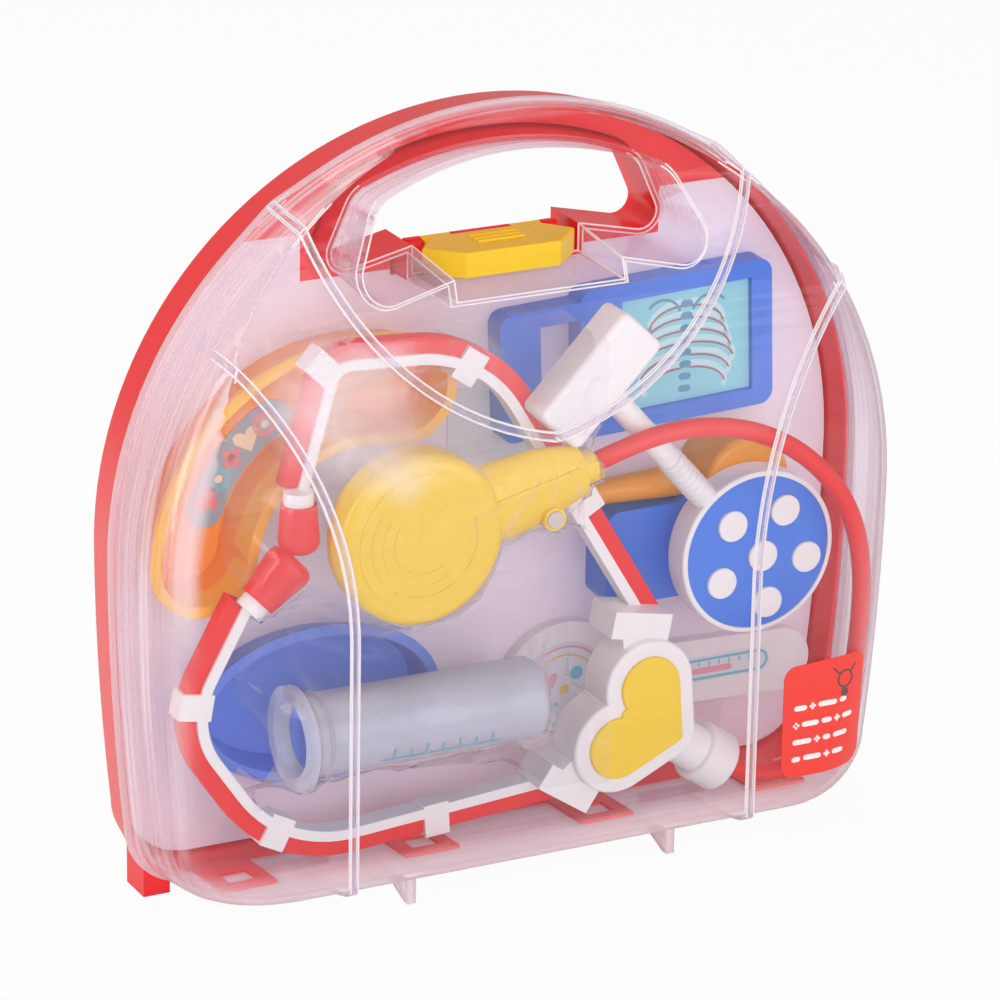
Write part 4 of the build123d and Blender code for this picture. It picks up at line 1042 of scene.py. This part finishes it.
class DOCTORCASE_OT_film(bpy.types.Operator):
    """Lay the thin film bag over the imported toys"""

    bl_idname = "doctorcase.film"
    bl_label = "Film bag"

    columns, rows = 118, 146
    left, right, low, high = -98.0, 26.0, 30.0, 188.0
    stretches = 160  # passes that draw the film taut between the toys
    over_toys, under_shell = 1.2, 0.8  # the room that it keeps
    drawn_out = range(2, 23, 2)  # places of the plunger that it leaves free

    def execute(self, context):
        # polyethylene film: unseen where flat, with sharp glints and milky creases, and a painted
        # reflection:
        # a milky patch at its upper left
        finish = {"haze": 0.03, "edge": 0.7, "mirror": 0.9, "rough": 0.1, "rim_hex": "#F4ECF4"}
        film = thin_clear("film_bag", "#FEFDFE", patch=(-61.0, 170.0, 31.0, 0.5), **finish)
        rest, wall = self.heights()
        height = rest.copy()
        for _ in range(self.stretches):
            taut = height.copy()
            beside = height[1:-1, :-2] + height[1:-1, 2:]
            taut[1:-1, 1:-1] = (height[:-2, 1:-1] + height[2:, 1:-1] + beside) / 4
            height = numpy.minimum(taut, rest)
        work = bmesh.new()
        grid = []
        for row in range(self.rows):
            line = []
            for column in range(self.columns):
                x, z = self.place(column, row)
                y = max(height[row, column] - self.crease(x, z), wall[row, column])
                line.append(work.verts.new((x * MM, y * MM + SEAM_Y, z * MM)))
            grid.append(line)
        for one, two in zip(grid, grid[1:]):
            for k in range(self.columns - 1):
                work.faces.new((one[k], one[k + 1], two[k + 1], two[k]))
        mesh = mesh_from(work)
        mesh.shade_smooth()
        sheet = add_object("film_bag", mesh, "case_back", "clear_plastic", film)
        return {"FINISHED"}

    def place(self, column, row):
        """Where a point of the film's grid lies, seen from the front, in millimetres."""
        across, up = column / (self.columns - 1), row / (self.rows - 1)
        x = self.left + (self.right - self.left) * across + 3.0 * math.sin(5.1 * up + 0.6)
        z = self.low + (self.high - self.low) * up + 3.5 * math.sin(4.3 * across + 1.0)
        return x, z

    def heights(self):
        """How far forward the toys and the shell's inner wall come at each point of the grid."""
        skins = [obj for obj in bpy.data.objects if obj.name.endswith("_skin")]
        placed = [(obj, 0.0) for obj in skins if not obj.name.startswith(("front_", "card_"))]
        drawn = [bpy.data.objects[name] for name in ("plunger_rod_skin", "plunger_rings")]
        placed += [(obj, -step * MM) for obj in drawn for step in self.drawn_out]
        toys = self.tree_of(placed)
        shell = self.tree_of([(bpy.data.objects["front_shell_skin"], 0.0)])
        rest = numpy.zeros((self.rows, self.columns))
        wall = numpy.full((self.rows, self.columns), -PACK_DEPTH / MM)
        for row in range(self.rows):
            for column in range(self.columns):
                x, z = self.place(column, row)
                toy = toys.ray_cast(Vector((x * MM, SEAM_Y - PACK_DEPTH, z * MM)), BACKWARD)[0]
                inner = shell.ray_cast(Vector((x * MM, SEAM_Y, z * MM)), -BACKWARD)[0]
                if toy:
                    rest[row, column] = min((toy.y - SEAM_Y) / MM - self.over_toys, 0.0)
                if inner:
                    wall[row, column] = (inner.y - SEAM_Y) / MM + self.under_shell
        return rest, wall

    def tree_of(self, placed):
        """A search tree over objects, each moved sideways by a distance."""
        places, faces = [], []
        for obj, shift in placed:
            offset = len(places)
            places += [vertex.co + Vector((shift, 0, 0)) for vertex in obj.data.vertices]
            faces += [[offset + index for index in face.vertices] for face in obj.data.polygons]
        return BVHTree.FromPolygons(places, faces)

    def crease(self, x, z):
        """The crumples of the film and the folds that run out from where it is gathered."""
        broad = 1 - abs(noise.noise(Vector((x / 34, z / 34, 3.1))))
        fine = 1 - abs(noise.noise(Vector((x / 13, z / 13, 8.7))))
        away = math.hypot(x - 4, z - 150)
        fold = abs(math.cos(5.5 * math.atan2(z - 150, x - 4)))
        gather = 3.0 * fold**4 * math.exp(-away / 30) * min(1.0, away / 6)
        return 0.3 + 3.0 * broad**9 + 1.4 * fine**7 + gather


# ---------------------------------------------------------------- studio


def area_lamp(name, place_mm, target_mm, size_mm, power, shadow=True):
    """A soft rectangular lamp that faces the case; its size is width by height."""
    data = bpy.data.lights.new(name, "AREA")
    data.shape = "RECTANGLE"
    data.size = size_mm[0] * MM
    data.size_y = size_mm[1] * MM
    data.energy = power
    data.use_shadow = shadow
    lamp = bpy.data.objects.new(name, data)
    lamp.location = Vector(place_mm) * MM
    away = Vector(target_mm) - Vector(place_mm)
    lamp.rotation_mode = "QUATERNION"
    lamp.rotation_quaternion = away.to_track_quat("-Z", "Y")
    bpy.context.scene.collection.objects.link(lamp)


def seen_ray(tree):
    """One for the rays that an eye sees by, straight or through glass."""
    rays = put(tree, "ShaderNodeLightPath").outputs
    kinds = rays["Is Camera Ray"], rays["Is Transmission Ray"]
    return put(tree, "ShaderNodeMath", kinds, operation="MAXIMUM")


class DOCTORCASE_OT_stage(bpy.types.Operator):
    """Set the floor, the lamps, the world and the camera"""

    bl_idname = "doctorcase.stage"
    bl_label = "Studio"

    def execute(self, context):
        scene = context.scene
        self.floor()
        self.world(scene)
        self.lamps()
        self.camera(scene)
        scene.view_settings.view_transform = "Standard"
        return {"FINISHED"}

    def floor(self):
        """A white sweep: the eye sees most of it as bare white, and soft shadows on the rest."""
        side, bare = 3.0, 0.94
        corners = [(-side, -side, 0), (side, -side, 0), (side, side, 0), (-side, side, 0)]
        mesh = bpy.data.meshes.new("floor")
        mesh.from_pydata(corners, [], [(0, 1, 2, 3)])
        material, tree = new_material("studio_floor")
        lit = put(tree, "ShaderNodeBsdfDiffuse", {"Color": linear(colours().floor)})
        white = put(tree, "ShaderNodeEmission", {"Strength": 1.0})
        share = put(tree, "ShaderNodeMath", (seen_ray(tree), bare), operation="MULTIPLY")
        seen = put(tree, "ShaderNodeMixShader", (share, lit, white))
        put(tree, "ShaderNodeOutputMaterial", {"Surface": seen})
        mesh.materials.append(material)
        floor = bpy.data.objects.new("floor", mesh)
        bpy.context.scene.collection.objects.link(floor)

    def world(self, scene):
        """A white room that lights the case softly and is seen at its full brightness."""
        world = bpy.data.worlds.new("studio")
        scene.world = world
        world.use_nodes = True
        tree = world.node_tree
        tree.nodes.clear()
        soft = put(tree, "ShaderNodeBackground", {"Strength": 0.5})
        seen = put(tree, "ShaderNodeBackground", {"Strength": 1.0})
        mix = put(tree, "ShaderNodeMixShader", (seen_ray(tree), soft, seen))
        put(tree, "ShaderNodeOutputWorld", {"Surface": mix})

    def lamps(self):
        middle = (0, 0, 120)
        area_lamp("key_lamp", (-450, -1350, 600), middle, (900, 900), 3.7)
        area_lamp("fill_lamp", (350, -1350, 450), middle, (900, 900), 5.6, shadow=False)
        area_lamp("top_lamp", (0, 100, 1300), middle, (1000, 1000), 0.4)
        area_lamp("rim_lamp", (-200, 700, 1000), middle, (700, 250), 2.2)
        area_lamp("left_strip", (-1000, 120, 420), middle, (110, 1000), 3.4)
        area_lamp("right_strip", (1000, -500, 700), middle, (120, 900), 1.0)
        area_lamp("top_strip", (-150, -500, 1150), middle, (900, 100), 1.2)

    def camera(self, scene):
        turn, rise, roll = math.radians(27.24), math.radians(20.36), math.radians(1.01)
        ahead = Vector((math.sin(turn) * math.cos(rise), math.cos(turn) * math.cos(rise), -math.sin(rise)))
        right = Vector((math.cos(turn), -math.sin(turn), 0))
        up = right.cross(ahead)
        side = right * math.cos(roll) + up * math.sin(roll)
        top = up * math.cos(roll) - right * math.sin(roll)
        data = bpy.data.cameras.new("camera")
        data.lens = 191.45
        data.sensor_width = 36
        data.clip_end = 20
        camera = bpy.data.objects.new("camera", data)
        target = Vector((3.2, 15.6, 120.3)) * MM
        place = target - ahead * sizes().camera_distance * MM
        axes = Matrix((side, top, -ahead)).transposed().to_4x4()
        camera.matrix_world = Matrix.Translation(place) @ axes
        scene.collection.objects.link(camera)
        scene.camera = camera


class DOCTORCASE_PT_panel(bpy.types.Panel):
    """Colours, sizes and the steps that dress the case"""

    bl_label = "Doctor case"
    bl_idname = "DOCTORCASE_PT_panel"
    bl_space_type = "VIEW_3D"
    bl_region_type = "UI"
    bl_category = "Doctor case"

    def draw(self, context):
        for group in (colours(), sizes()):
            for key in group.__annotations__:
                self.layout.prop(group, key)
        for operator in OPERATORS:
            self.layout.operator(operator.bl_idname)


OPERATORS = (
    DOCTORCASE_OT_shells,
    DOCTORCASE_OT_latch,
    DOCTORCASE_OT_back_layer,
    DOCTORCASE_OT_syringe,
    DOCTORCASE_OT_stethoscope,
    DOCTORCASE_OT_hammer,
    DOCTORCASE_OT_film,
    DOCTORCASE_OT_stage,
)
CLASSES = (DoctorCaseColours, DoctorCaseSizes, *OPERATORS, DOCTORCASE_PT_panel)


def register():
    for each in CLASSES:
        bpy.utils.register_class(each)
    bpy.types.Scene.doctor_case_colours = bpy.props.PointerProperty(type=DoctorCaseColours)
    bpy.types.Scene.doctor_case_sizes = bpy.props.PointerProperty(type=DoctorCaseSizes)


def unregister():
    del bpy.types.Scene.doctor_case_colours
    del bpy.types.Scene.doctor_case_sizes
    for each in reversed(CLASSES):
        bpy.utils.unregister_class(each)


def main():
    register()
    for operator in OPERATORS:
        step = getattr(bpy.ops.doctorcase, operator.bl_idname.split(".")[1])
        step()


if __name__ == "__main__":
    main()
